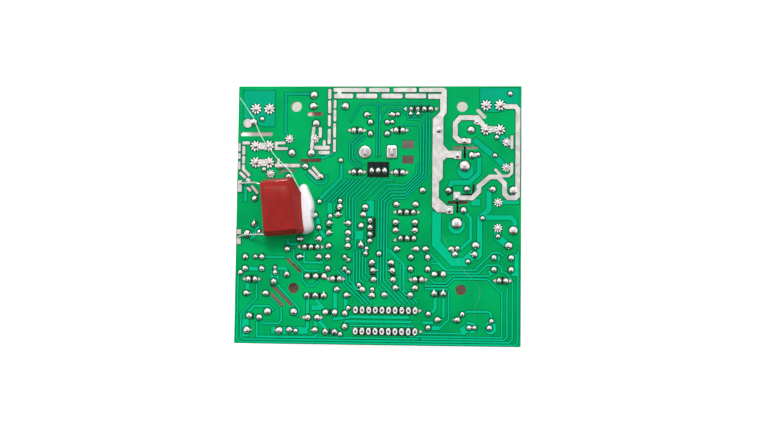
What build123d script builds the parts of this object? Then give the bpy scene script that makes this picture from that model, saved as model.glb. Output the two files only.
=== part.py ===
"""Blender control board: a single-sided circuit board lying on its component side, solder side up.

Every place is given in the board's plane, with x to the right and y to the rear as seen from
above, which is the solder side. The origin is on the surface that the board lies on, below the
middle of its outline. The parts hang from the board's lower face.
"""
from build123d import *
import math
import os

os.makedirs("parts", exist_ok=True)

# ---------------------------------------------------------------- the board
BOARD_WIDTH = 110.0
BOARD_DEPTH = 100.0
BOARD_THICKNESS = 1.6
STAND_HEIGHT = 20.0          # height of the tallest parts, which the board lies on
COPPER_THICKNESS = 0.07
TINNING_THICKNESS = 0.12
INK_THICKNESS = 0.04

COMPONENT_FACE = STAND_HEIGHT
SOLDER_FACE = COMPONENT_FACE + BOARD_THICKNESS
COPPER_FACE = SOLDER_FACE + COPPER_THICKNESS
TINNED_FACE = COPPER_FACE + TINNING_THICKNESS
LEFT = -BOARD_WIDTH / 2
RIGHT = BOARD_WIDTH / 2
FRONT = -BOARD_DEPTH / 2
REAR = BOARD_DEPTH / 2

MOUNT_SPACING_X = 64.4
MOUNT_SPACING_Y = 70.6
MOUNT_CENTRE_Y = 6.75
MOUNT_HOLE_RADIUS = 2.05

# Isolation slots: (points, width)
SLOTS = [
    ([(-54.0, 31.2), (-41.4, 31.2)], 1.6),
    ([(-27.9, 39.1), (-21.9, 39.1)], 1.6),
    ([(37.9, 41.1), (41.2, 37.5)], 1.5),
    ([(-30.4, 20.9), (-22.2, 20.9)], 1.4),
    ([(-41.2, -26.9), (-32.6, -35.3)], 1.2),
    ([(-41.2, -30.5), (-36.1, -35.5)], 1.2),
    ([(-35.0, -17.1), (-29.5, -22.3)], 1.2),
    ([(-32.0, 17.0), (-37.5, 17.0), (-38.9, 15.4)], 0.9),
]
# T-shaped slots between the legs of the power switches: bar centre, bar length, stem end
T_SLOTS = [((33.3, 26.1), 9.8, 22.0), ((30.7, 4.95), 8.0, 0.9)]
T_BAR_WIDTH = 1.2
T_STEM_WIDTH = 0.9
# Rectangular openings beside the speed control
WINDOW_WIDTH = 4.5
WINDOW_HEIGHT = 3.2
WINDOW_PLACES = [(11.5, 27.3), (11.5, 21.4)]

# ---------------------------------------------------------------- solder
JOINT_HEIGHT = 1.0
JOINT_TOP_SHARE = 0.45       # width of a joint's tip against its foot
JOINT_LEAN = 0.35            # how far the tip of a clinched joint leans
JOINT_GAP = 0.08             # least space left between two joints
JOINT_SIDES = 6
STAR_SIDES = 16
STAR_LOBE = 0.8              # a star's hollows against its tips
SMALL_JOINT = 1.2
LARGE_JOINT = 1.4

# ---------------------------------------------------------------- two-lead parts
WIRE = 0.6
QUARTER_PITCH = 7.6
QUARTER_BODY = (5.6, 2.4)
HALF_PITCH = 10.0
HALF_BODY = (6.6, 2.8)
POWER_PITCH = 12.6
POWER_BODY = (10.0, 4.2)
DIODE_BODY = (5.2, 2.7)
BODY_LIFT = 0.2              # clearance between a lying part and the board

# (x, y, pitch, angle)
RESISTORS = [
    (10.9, 4.1, QUARTER_PITCH, 0), (10.7, -2.8, QUARTER_PITCH, 0), (10.7, -5.9, QUARTER_PITCH, 0),
    (11.2, -13.1, QUARTER_PITCH, 0), (-15.1, -3.3, QUARTER_PITCH, 0), (-15.1, -7.0, QUARTER_PITCH, 0),
    (-15.1, -12.1, QUARTER_PITCH, 0), (1.7, -18.4, QUARTER_PITCH, 0), (2.2, -21.4, QUARTER_PITCH, 0),
    (2.5, -24.9, QUARTER_PITCH, 0), (10.9, -28.0, QUARTER_PITCH, 0), (-26.3, -9.5, QUARTER_PITCH, 0),
    (-26.3, -16.4, QUARTER_PITCH, 0), (-46.8, -30.6, QUARTER_PITCH, 0), (33.6, -15.0, QUARTER_PITCH, 0),
    (27.1, -40.0, QUARTER_PITCH, 0), (-6.35, -8.0, QUARTER_PITCH, 90), (-27.0, -27.6, QUARTER_PITCH, 90),
    (-23.7, -27.6, QUARTER_PITCH, 90), (-20.4, -27.6, QUARTER_PITCH, 90), (22.0, -26.4, QUARTER_PITCH, 90),
    (25.5, -26.4, QUARTER_PITCH, 90), (-19.7, -41.4, QUARTER_PITCH, 90), (-16.1, -41.4, QUARTER_PITCH, 90),
    (39.2, 10.1, HALF_PITCH, 0), (22.2, 9.6, HALF_PITCH, 0),
]
DIODES = [
    (-9.8, 3.0, HALF_PITCH, 0), (-6.7, -31.0, HALF_PITCH, 0), (7.9, -30.7, HALF_PITCH, 0),
    (-28.6, -44.5, HALF_PITCH, 0), (23.5, -13.0, HALF_PITCH, 0),
]
JUMPERS = [
    (-10.5, 0.0, HALF_PITCH, 0), (0.3, 38.9, HALF_PITCH, 0), (-34.9, -18.3, HALF_PITCH, 90),
    (-47.95, 1.1, HALF_PITCH, 90), (-33.3, 18.65, HALF_PITCH, 0), (-28.6, 14.7, POWER_PITCH, 0),
    (-10.5, -28.8, HALF_PITCH, 0),
]
POWER_RESISTORS = [
    (29.4, 33.0, POWER_PITCH, 0), (-19.3, 42.2, POWER_PITCH, 0), (44.0, -11.5, POWER_PITCH, 0),
    (-43.8, -44.8, POWER_PITCH, 0),
]
# Small upright capacitors: (x, y, pitch, angle)
DISC_CAPACITORS = [
    (-1.9, -14.95, 5.2, 0), (-11.0, -19.85, 4.7, 90), (-23.5, -2.7, 5.0, 106), (19.85, -40.45, 5.2, 90),
]
DISC_RADIUS = 2.9
DISC_THICKNESS = 2.0
DISC_LIFT = 1.6
# Electrolytic capacitors: (x, y, pitch, angle, radius, height)
CANS = [
    (-39.7, -24.3, 3.5, 82, 4.0, STAND_HEIGHT), (-12.2, -40.55, 5.0, 90, 2.5, 11.0),
    (-47.3, -39.6, 4.0, -8, 2.5, 11.0), (-24.7, -39.75, 3.6, 0, 3.15, 11.0),
]
CAN_GROOVE = 0.4

# ---------------------------------------------------------------- lights, switches, speed control
LED_PITCH = 2.6
LED_PLACES = [
    (-8.4, 32.7), (8.05, 32.8), (-8.15, 16.5), (8.2, 16.4),
    (-48.5, -25.2), (-15.8, -24.8), (15.9, -24.8), (48.0, -24.9),
]
LED_RADIUS = 2.5
LED_LENGTH = 8.6
LED_TIP = 17.0               # from the board's lower face
SPACER_RADIUS = 2.3
SWITCH_PLACES = [(-47.9, -18.8), (-15.8, -18.6), (0.05, 33.7), (16.2, -18.5), (48.0, -18.4)]
SWITCH_SIZE = 6.0
SWITCH_HEIGHT = 3.5
SWITCH_PIN_X = 6.5
SWITCH_PIN_Y = 4.5
SWITCH_COVER = 0.3
PLUNGER_RADIUS = 1.75
PLUNGER_TIP = 17.0
PLUNGER_SIDES = 10
PLUNGER_CLEARANCE = 0.1
PLUNGER_TRAVEL = 0.25
PLUNGER_COLLAR = 0.5
PLUNGER_PLAY = 0.05          # between the collar and the cover at rest
DOME_GAP = 0.1               # left below the collar when it is pressed
DOME_THICKNESS = 0.3
DOME_RADIUS = 2.2
SHAFT_PLACE = (0.0, 24.3)
SHAFT_RADIUS = 3.0
SHAFT_TIP = 19.5
SHAFT_FLAT = 2.4
SHAFT_KNOB_LENGTH = 7.3
JOURNAL_RADIUS = 2.5
SHAFT_CLEARANCE = 0.08
POT_BODY = (9.8, 11.4, 6.8)
POT_WALL = 1.0
POT_BUSH_RADIUS = 3.9
POT_BUSH_HEIGHT = 5.0
POT_ROTOR_RADIUS = 3.7
POT_ROTOR_HEIGHT = 1.6
POT_PIN_Y = 17.1
POT_PIN_PITCH = 2.5
POT_LUG_X = 5.2
LUG_PAD = (4.0, 5.0)
LUG_JOINT_HEIGHT = 0.35
LUG_END = (1.1, 2.7)
LUG_END_HEIGHT = 1.3
INK_PANEL = (8.5, 6.0)
INK_PANEL_Y = 17.5

# ---------------------------------------------------------------- mains side
TAB_PLACES = [(-45.4, 41.0), (-45.4, 26.5), (-45.2, 20.0), (44.1, 42.5), (44.1, 33.0)]
TAB_PIN_PITCH = 5.3
TAB_WIDTH = 6.3
TAB_THICKNESS = 0.8
TAB_HEIGHT = 9.0
TAB_CHAMFER = 1.2
TAB_SHOULDER = 2.2
RELAY_PLACE = (-29.8, 26.6)
RELAY_BODY = (18.4, 10.2, 15.3)
RELAY_LIFT = 0.3
RELAY_CONTACTS = [(-34.7, 29.3), (-24.7, 29.3)]
RELAY_COIL = [(-33.7, 23.9), (-26.1, 23.9)]
VARISTOR_PINS = [(-25.4, 46.5), (-24.4, 35.4)]
VARISTOR_RADIUS = 7.8
VARISTOR_THICKNESS = 4.4
BOX_FILM_PINS = [(-42.2, -37.6), (-32.0, -37.6)]
BOX_FILM_BODY = (12.8, 5.0, 11.0)
X_CAPACITOR_PINS = [(52.0, -5.7), (52.0, 9.6)]
X_CAPACITOR_BODY = (18.0, 5.5, 12.0)
BOX_EDGE = 0.6
CHOKE_PINS = [[(49.3, 18.4), (49.3, 28.2)], [(46.2, -4.9), (46.2, 4.95)]]
CHOKE_RADIUS = 2.7
CHOKE_FLANGE = 0.9
CHOKE_CORE_RADIUS = 1.9
# Power switches: outer legs, the middle leg set forward, and the pin of the heatsink behind
TRIACS = [
    {"outer": [(30.6, 23.2), (35.9, 23.2)], "middle": (33.2, 28.7), "sink_pin": (33.3, 19.0)},
    {"outer": [(27.6, 2.0), (33.0, 2.0)], "middle": (30.4, 7.0), "sink_pin": (30.4, -3.1)},
]
TRIAC_BODY = (10.2, 4.5, 9.2)
TRIAC_TAB = 1.3
TRIAC_TAB_LENGTH = 15.6
TRIAC_LIFT = 3.6
SCREW_RADIUS = 1.5
SCREW_HEAD_RADIUS = 2.8
SCREW_HEAD = 2.0
SINK_WIDTH = 16.0
SINK_DEPTH = 7.0
SINK_WALL = 1.6
SINK_LIFT = 1.0
SINK_PIN_RADIUS = 1.0
SINK_JOINT = 2.1

# ---------------------------------------------------------------- small signal side
CHIP_PIN_PITCH = 2.54
CHIP_PINS_A_ROW = 10
CHIP_CENTRE = (3.38, -40.75)
CHIP_ROW = 7.62
CHIP_JOINT_ROW = 8.1         # the legs are bent outwards, so their solder lies wider than the rows
CHIP_BODY = (25.2, 6.4, 3.5)
CHIP_LIFT = 0.5
CHIP_LEG = 0.5
SOCKET_REAR = [(12.5 + 2.55 * n, 41.1) for n in range(4)]
SOCKET_MIDDLE = [(-2.9, -2.2 - 2.62 * n) for n in range(4)]
SOCKET_WIDTH = 5.8
NARROW_SOCKET_WIDTH = 4.0
SOCKET_HEIGHT = 7.0
SOCKET_WALL = 0.8
TRANSISTOR_PINS = [
    [(-28.2, -12.6), (-25.7, -12.6), (-23.2, -12.6)], [(8.6, 1.05), (11.2, 1.05), (13.8, 1.05)],
    [(8.9, -9.0), (11.5, -9.0), (14.1, -9.0)],
]
TRANSISTOR_RADIUS = 2.3
TRANSISTOR_HEIGHT = 4.6
TRANSISTOR_LIFT = 3.0
BUZZER_PINS = [(35.4, -42.9), (43.1, -42.9)]
BUZZER_RADIUS = 6.0
BUZZER_HEIGHT = 9.0
BUZZER_HOLE = 1.2
TEST_POINTS = [
    (-45.6, 37.1), (-14.6, 21.0), (50.6, 47.0), (45.6, 30.1), (44.9, 23.1), (40.3, -1.1), (46.2, -8.0),
    (34.8, -17.7), (-22.7, 4.95), (-14.6, 5.3), (-18.4, -0.7), (-11.5, -9.6), (-4.1, -13.0),
    (-6.9, -27.1), (-1.75, -28.7), (-10.9, -36.0), (-13.9, -46.0), (-31.1, -44.9), (-39.5, -20.6),
    (-47.2, -16.5), (-53.0, -22.7), (32.8, -37.8), (43.9, -40.3), (37.5, -42.9), (5.3, 36.0),
    (7.4, 39.05), (12.4, 39.2), (15.2, 39.2), (38.4, 23.4), (-45.9, -6.9), (-44.5, 17.4), (30.8, -12.7),
    (37.8, 36.2),
]

# ---------------------------------------------------------------- the capacitor added on the solder side
FILM_CENTRE = (-36.5, 2.5)
FILM_SIZE = (15.6, 21.8, 7.8)
FILM_ANGLE = 5.2
# Cuts across its corners, along the width and the length: front left, front right, rear right, rear left
FILM_CUTS = [(0.8, 0.8), (0.9, 0.9), (2.9, 6.3), (1.6, 1.0)]
FILM_UNDERCUT = 1.0          # how far the sides lean in below the widest level
FILM_SLOPES = (0.7, 3.0, 1.6, 1.1)   # how far the upper face is set in: left, right, front, rear
FILM_UPPER_CUT = 0.4         # the upper face's corner cuts against those of the widest level
FILM_GAP = 0.1               # between the capacitor and the tips of the joints that it lies on
FILM_LIFT = JOINT_HEIGHT + FILM_GAP
LEAD_RADIUS = 0.35
LEAD_PADS = [(LEFT + 1.1, 10.85, 4.5), (LEFT + 1.1, -6.95, 1.9), (LEFT + 1.1, -10.55, 2.5)]
LEAD_PAD_WIDTH = 1.6
LEAD_JOINT = (-50.6, -7.7)
SPLASH_JOINT = (-49.05, 35.9)
SPLASH_POOL = (-51.2, 35.4)
SPLASH_RADIUS = 1.8
GLUE_HEIGHT = 6.4
# The silicone's outline, from the middle of the capacitor's right side
GLUE_RIM = [(-1.9, 7.8), (0.3, 8.6), (1.7, 7.8), (2.5, 5.4), (3.8, 2.9), (4.5, 0.2), (4.4, -4.6),
            (4.3, -8.1), (4.0, -9.7), (2.4, -10.6), (0.7, -11.4), (-1.8, -9.7), (-2.8, -0.2)]
GLUE_SPINE = (-1.7, -1.2)
GLUE_CROWN = 0.3
GLUE_REACH = 12.5
STRAND_WIDTH = 0.3
STRAND_CLEARANCE = 0.5       # between the thread and the capacitor's side


# ================================================================ flat shapes
def ribbon(points, width, tip=0.0):
    """A flat strip of even width along a line of points, with its end corners cut by tip."""
    half = width / 2
    units = []
    for (x0, y0), (x1, y1) in zip(points, points[1:]):
        length = math.hypot(x1 - x0, y1 - y0)
        units.append(((x1 - x0) / length, (y1 - y0) / length))
    left, right = [], []
    for index, (x, y) in enumerate(points):
        before = units[max(index - 1, 0)]
        after = units[min(index, len(units) - 1)]
        scale = half / (1 + before[0] * after[0] + before[1] * after[1])
        across = (-(before[1] + after[1]) * scale, (before[0] + after[0]) * scale)
        end = index == 0 or index == len(points) - 1
        if end and tip > 0:
            inward = 1 if index == 0 else -1
            back = (before[0] * inward * tip, before[1] * inward * tip)
            narrow = 1 - tip / half
            corners = [(back[0] + across[0], back[1] + across[1]), (across[0] * narrow, across[1] * narrow)]
            other = [(back[0] - across[0], back[1] - across[1]), (-across[0] * narrow, -across[1] * narrow)]
            if index == 0:
                corners.reverse()
                other.reverse()
            left += [(x + dx, y + dy) for dx, dy in corners]
            right += [(x + dx, y + dy) for dx, dy in other]
        else:
            left.append((x + across[0], y + across[1]))
            right.append((x - across[0], y - across[1]))
    return flat(left + right[::-1])


def flat(points):
    """A face with straight edges through the points."""
    return make_face(Polyline(*points, close=True))


def ring_points(x, y, radius, sides, ratio=1.0, turn=None, lobe=1.0):
    """Points of a regular outline. ratio stretches it along y, lobe pulls each second point in."""
    start = 180 / sides if turn is None else turn
    points = []
    for step in range(sides):
        reach = radius * (lobe if step % 2 else 1.0)
        angle = math.radians(start + 360 * step / sides)
        points.append((x + reach * math.cos(angle), y + reach * ratio * math.sin(angle)))
    return points


def layer(faces, base, thickness, holes=()):
    """One flat layer of the board, from faces that may overlap, less the holes."""
    outline = Sketch() + list(faces)
    if holes:
        outline = outline - list(holes)
    return Pos(0, 0, base) * extrude(outline, amount=thickness)


def faceted(rings):
    """A solid with flat sides through rings of points, from the lowest ring to the highest."""
    faces = [Face(Wire.make_polygon(rings[0])), Face(Wire.make_polygon(rings[-1]))]
    count = len(rings[0])
    for low, high in zip(rings, rings[1:]):
        for step in range(count):
            after = (step + 1) % count
            faces.append(Face(Wire.make_polygon([low[step], low[after], high[after], high[step]])))
    return Solid(Shell(faces))


def lathe(profile, sides):
    """A turned shape with flats. The profile is radius and height, from the foot up."""
    return faceted([[(x, y, height) for x, y in ring_points(0, 0, radius, sides)]
                    for radius, height in profile])


def turned(place, angle, offsets):
    """Offsets turned by angle about a place."""
    c, s = math.cos(math.radians(angle)), math.sin(math.radians(angle))
    return [(place[0] + c * dx - s * dy, place[1] + s * dx + c * dy) for dx, dy in offsets]


def ends(x, y, pitch, angle):
    """The two pins of a part with a lead at each end."""
    return turned((x, y), angle, [(-pitch / 2, 0), (pitch / 2, 0)])


def group(shapes):
    """Separate solids that share one node."""
    return Compound(children=[solid for shape in shapes for solid in shape.solids()])


# ================================================================ the bare board
def circuit_board():
    """The laminate with its mounting holes, isolation slots and windows."""
    outline = Rectangle(BOARD_WIDTH, BOARD_DEPTH)
    holes = [Pos(x, y) * Circle(MOUNT_HOLE_RADIUS) for x, y in mount_places()]
    slots = [ribbon(points, width, tip=width * 0.3) for points, width in SLOTS]
    for (x, y), length, stem_end in T_SLOTS:
        bar = ribbon([(x - length / 2, y), (x + length / 2, y)], T_BAR_WIDTH, tip=T_BAR_WIDTH * 0.3)
        stem = ribbon([(x, y), (x, stem_end)], T_STEM_WIDTH)
        slots.append(bar + stem)
    windows = [Pos(x, y) * Rectangle(WINDOW_WIDTH, WINDOW_HEIGHT) for x, y in WINDOW_PLACES]
    plate = extrude(outline - holes - slots - windows, amount=BOARD_THICKNESS)
    return Pos(0, 0, COMPONENT_FACE) * plate


def mount_places():
    """The four mounting holes."""
    return [(sx * MOUNT_SPACING_X / 2, MOUNT_CENTRE_Y + sy * MOUNT_SPACING_Y / 2)
            for sx in (-1, 1) for sy in (-1, 1)]


# ================================================================ copper
def bus(count, width, corners):
    """Parallel traces. Each corner is x, y and the step to the same corner of the next trace."""
    traces = []
    for n in range(count):
        traces.append(ribbon([(x + n * step_x, y + n * step_y) for x, y, step_x, step_y in corners], width))
    return traces


def centre_traces():
    """Fine traces that fan out from the speed control to the chip."""
    fine = 0.5
    traces = bus(4, fine, [(-12.1, -1.0, 1.2, -4.2), (-12.1, 7.8, 1.2, -0.8), (-4.9, 15.0, 1.9, -0.2)])
    traces += bus(4, fine, [(-20.9, 5.0, 1.5, 0.0), (-12.2, 13.7, 1.5, 0.0)])
    traces += bus(4, fine, [(7.4, -34.4, 1.9, 0.0), (0.3, -27.2, 1.1, 0.9), (0.3, 6.1, 1.1, -0.55),
                            (4.2, 10.0, 0.65, -1.2), (10.3, 10.0, 0.1, -1.2), (16.3, 16.0, 1.1, -0.2),
                            (16.3, 33.5, 1.1, 2.2), (14.9, 34.9, 1.1, 2.2), (9.5, 34.9, 1.3, 2.2)])
    traces += bus(5, fine, [(-9.0, -14.6, 1.15, 0.9), (-9.0, -27.6, 1.15, 1.3), (-7.6, -29.0, 1.4, 1.2)])
    traces += bus(3, fine, [(-15.6, -21.4, 1.3, 0.2), (-12.8, -24.2, 1.1, 0.4), (-12.8, -26.6, 1.1, 0.6),
                            (-5.0, -34.4, 1.7, 0.0)])
    traces += bus(3, fine, [(-5.6, 19.4, -1.1, -0.8), (-8.7, 22.2, -1.3, -0.4), (-8.7, 26.9, -1.3, 0.4),
                            (-5.2, 30.4, -1.3, 0.5)])
    traces += bus(2, fine, [(-0.7, 22.6, 1.1, 0.0), (-0.7, 43.4, 1.1, -0.5)])
    traces += bus(2, fine, [(8.9, -18.9, 1.1, 0.3), (8.9, -28.6, 1.3, 0.4), (14.4, -34.2, 1.5, 0.3)])
    traces.append(ribbon([(-5.6, 5.6), (2.2, 13.4), (6.2, 13.4)], fine))
    traces.append(ribbon([(-3.6, 4.8), (3.2, 11.6), (10.6, 11.6), (14.9, 15.9), (14.9, 19.6)], fine))
    traces.append(ribbon([(-10.9, 36.2), (-7.1, 43.0), (19.4, 43.0)], fine))
    traces.append(ribbon([(0.9, 36.2), (0.9, 38.6), (3.6, 41.3), (8.2, 41.3), (11.2, 38.2),
                          (16.6, 38.2)], fine))
    traces.append(ribbon([(3.6, -4.2), (3.6, -12.9), (12.4, -21.7), (12.4, -25.5)], fine))
    traces.append(ribbon([(5.0, -13.4), (10.4, -18.8), (10.4, -30.2)], fine))
    return traces


def border_traces():
    """Traces that run round the front and the sides of the board."""
    near, step, wide = 1.2, 2.0, 0.6
    low, rise = FRONT + 0.65, 0.95
    right = [RIGHT - near - step * n for n in range(4)]
    front = [low + rise * n for n in range(4)]
    left = LEFT + 1.1
    return [
        ribbon([(right[0], -13.5), (right[0], front[0] + 0.9), (right[0] - 0.9, front[0]),
                (left + 1.0, front[0]), (left, front[0] + 1.0), (left, -23.5)], wide),
        ribbon([(right[1] - 3.0, -21.6), (right[1], -24.7), (right[1], front[1] + 1.2),
                (right[1] - 1.2, front[1]), (left + 2.6, front[1]), (left + 1.4, front[1] + 1.2),
                (left + 1.4, -38.6), (left + 7.3, -32.7), (left + 7.3, -27.2)], wide),
        ribbon([(right[2], -27.2), (right[2], front[2] + 1.2), (right[2] - 1.2, front[2]),
                (17.0, front[2])], wide),
        ribbon([(18.2, -27.1), (26.8, -27.1), (29.5, -24.4), (right[3] - 5.6, -24.4), (right[3], -29.9),
                (right[3], front[3]), (12.0, front[3])], wide),
        ribbon([(20.4, -14.8), (26.6, -21.0), (right[3] - 10.4, -21.0), (right[3] - 3.6, -14.2),
                (right[3] - 1.0, -14.2), (right[3] + 0.5, -15.6)], wide),
        ribbon([(20.8, -18.6), (23.4, -18.6), (27.1, -22.2), (right[3] - 9.0, -22.2), (right[3] - 5.8, -19.0),
                (right[3] - 1.4, -19.0), (right[3] - 0.2, -20.2), (right[3] - 0.2, -21.6),
                (right[3] + 1.0, -21.6)], wide),
        ribbon([(20.4, -24.6), (21.9, -26.0), (26.4, -26.0), (29.2, -23.2), (right[3] - 4.4, -23.2)], wide),
        ribbon([(18.4, -28.3), (26.8, -28.3), (27.6, -29.1), (27.6, -40.0), (23.6, -44.0)], wide),
        ribbon([(17.4, front[3] + 1.3), (34.0, front[3] + 1.3)], wide),
        ribbon([(-24.4, front[2] + 0.05), (16.4, front[2] + 0.05)], wide),
        ribbon([(-22.0, front[1]), (18.0, front[1])], 0.4),
    ]


def front_left_traces():
    """Traces round the parts at the front left."""
    return [
        ribbon([(-41.4, -31.8), (-36.8, -36.3), (-36.8, -41.2), (-37.9, -42.2), (-44.0, -42.2),
                (-45.4, -40.8)], 0.7),
        ribbon([(-49.6, -38.0), (-47.4, -35.6), (-41.6, -35.6), (-39.9, -37.3)], 0.9),
        ribbon([(-38.4, -27.4), (-30.6, -35.6), (-29.8, -37.2), (-30.8, -39.4)], 0.8),
        ribbon([(-39.6, -21.9), (-39.6, -26.4)], 3.2),
        ribbon([(-40.4, -20.9), (-35.9, -20.9), (-34.9, -22.0)], 1.3),
        ribbon([(-46.2, -41.6), (-46.2, FRONT + 2.7), (-24.2, FRONT + 2.7), (-22.4, FRONT + 4.4)], 0.8),
        ribbon([(-50.6, -40.6), (-50.6, FRONT + 2.6)], 2.6),
        ribbon([(-40.6, -44.8), (-26.4, -44.8)], 2.6),
        ribbon([(-26.6, -32.6), (-26.6, -38.2), (-26.6, -44.2)], 1.2),
        ribbon([(-24.0, -32.4), (-19.9, -36.6)], 1.2),
        ribbon([(-25.2, -36.0), (-21.2, -36.0)], 1.8),
        ribbon([(-23.4, -40.0), (-23.4, -43.4)], 1.4),
        ribbon([(-22.2, -40.8), (-17.2, -46.4)], 1.4),
        ribbon([(-28.9, -22.6), (-28.9, -25.3), (-27.0, -27.6), (-24.4, -27.6), (-22.6, -25.8)], 0.6),
        ribbon([(-32.4, -13.4), (-32.4, -17.0), (-27.6, -21.8), (-22.6, -21.8)], 0.7),
        ribbon([(-28.2, -13.8), (-28.2, -18.6), (-20.8, -18.6)], 0.8),
        ribbon([(-43.4, -16.7), (-35.6, -16.7)], 0.7),
        ribbon([(-51.2, -21.2), (-44.8, -21.2)], 1.5),
        ribbon([(-50.2, -26.8), (-50.2, -30.4)], 1.4),
        ribbon([(-16.0, -29.6), (-16.0, -36.4)], 1.5),
        ribbon([(-11.9, -31.4), (-11.9, -36.6)], 1.5),
        ribbon([(-16.8, -40.3), (-9.8, -39.3), (12.6, -39.3)], 1.1),
        ribbon([(-12.6, -42.0), (-11.6, -41.0), (13.6, -41.0)], 0.9),
        ribbon([(-10.6, -42.6), (14.6, -42.6)], 0.5),
    ]


def mains_copper():
    """Broad copper at the rear and on the right, under the mask."""
    return [
        flat([(LEFT + 2.0, REAR - 1.7), (-40.6, REAR - 1.7), (-40.6, 34.2), (-45.4, 34.2),
              (LEFT + 2.0, 37.6)]),
        flat([(39.0, REAR - 0.8), (RIGHT - 0.8, REAR - 0.8), (RIGHT - 0.8, 41.6), (46.0, 39.9),
              (39.0, 39.9)]),
        ribbon([(-26.4, REAR - 3.0), (-36.4, REAR - 3.0), (-36.4, 32.4), (-34.7, 29.6)], 1.0),
        ribbon([(-51.6, 12.8), (-51.6, 4.8)], 1.2),
        ribbon([(-47.2, -3.6), (-46.6, -6.8), (-49.6, -9.6)], 1.8),
        ribbon([(-34.6, -9.2), (-34.6, -11.6), (-30.4, -11.6)], 1.2),
        ribbon([(-24.6, 1.0), (-23.0, -2.4), (-22.9, -5.2), (-20.4, -8.8)], 1.4),
        ribbon([(-14.3, 20.4), (-14.3, 14.2), (-23.6, 4.9)], 1.1),
        ribbon([(-18.6, 4.6), (-18.6, 0.0)], 1.8),
        ribbon([(-26.6, 21.9), (-21.6, 21.9), (-17.4, 23.8)], 1.0),
        ribbon([(-20.0, 15.4), (-20.0, 12.9), (-21.2, 11.9), (-23.8, 11.9), (-27.6, 15.6)], 0.8),
        flat([(-4.4, 5.4), (-1.4, 5.4), (-1.4, -0.6), (-4.4, -0.6)]),
        flat([(-8.2, -6.2), (-5.4, -6.2), (-5.4, -9.6), (-8.2, -9.6)]),
        flat(ring_points(33.6, 17.2, 3.3, 8)),
        flat(ring_points(30.4, -4.0, 3.4, 8)),
        ribbon([(22.7, 1.4), (22.7, -11.0), (29.2, -17.9), (33.6, -17.9), (37.3, -14.4)], 3.4),
        ribbon([(33.4, 1.2), (35.8, -1.2), (35.8, -9.3), (31.6, -13.4)], 1.2),
        ribbon([(42.7, 9.4), (42.7, 2.4), (39.2, -1.1), (39.2, -15.0), (37.6, -16.6)], 2.0),
        ribbon([(40.4, -0.8), (RIGHT - 3.8, -0.8), (RIGHT - 2.4, -2.2), (RIGHT - 2.4, -5.2)], 1.8),
        ribbon([(47.6, 5.2), (RIGHT - 0.8, 5.2)], 1.6),
        ribbon([(46.0, -5.6), (46.0, -8.2), (50.2, -11.6)], 2.6),
        ribbon([(36.6, 29.4), (43.4, 23.8), (49.2, 18.6)], 2.2),
        ribbon([(45.6, 31.6), (48.6, 28.6)], 3.0),
        ribbon([(38.8, 22.8), (38.8, 16.2), (35.0, 12.6), (28.4, 12.6), (27.4, 10.2)], 1.8),
        ribbon([(36.0, 5.0), (39.4, 5.0)], 2.6),
        ribbon([(44.4, -16.4), (47.0, -16.4)], 1.8),
        ribbon([(42.8, -22.2), (45.4, -21.0)], 2.0),
        ribbon([(RIGHT - 3.4, -15.4), (RIGHT - 1.8, -15.4), (RIGHT - 1.8, -22.4), (RIGHT - 3.6, -22.4)], 1.4),
        ribbon([(22.4, -31.2), (22.4, -36.0), (20.4, -38.0)], 1.2),
        ribbon([(25.6, -31.2), (25.6, -39.2)], 1.0),
        ribbon([(17.6, -41.2), (21.8, -41.2)], 1.1),
        ribbon([(20.2, -43.2), (24.2, -43.2)], 1.6),
        ribbon([(31.2, -39.4), (34.6, -36.8), (42.8, -36.8), (43.8, -37.8), (43.8, -40.0)], 0.8),
        ribbon([(32.4, -44.6), (35.8, -42.4), (36.2, -40.8)], 3.0),
        flat(ring_points(36.6, -43.0, 2.2, 8)),
        flat(ring_points(43.6, -42.8, 2.4, 8, ratio=1.15)),
    ]


def copper_tracks():
    """All the copper that the green mask covers."""
    return layer(centre_traces() + border_traces() + front_left_traces() + mains_copper(),
                 SOLDER_FACE, COPPER_THICKNESS, holes=board_openings() + bare_shapes())


def board_openings():
    """Outlines of the slots, windows and mounting holes, with bare laminate round them."""
    margin = 0.3
    openings = [ribbon(points, width + 2 * margin) for points, width in SLOTS]
    for (x, y), length, stem_end in T_SLOTS:
        openings.append(ribbon([(x - length / 2 - margin, y), (x + length / 2 + margin, y)],
                               T_BAR_WIDTH + 2 * margin))
        openings.append(ribbon([(x, y), (x, stem_end - margin)], T_STEM_WIDTH + 2 * margin))
    openings += [Pos(x, y) * Rectangle(WINDOW_WIDTH + 2 * margin, WINDOW_HEIGHT + 2 * margin)
                 for x, y in WINDOW_PLACES]
    return openings


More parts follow.
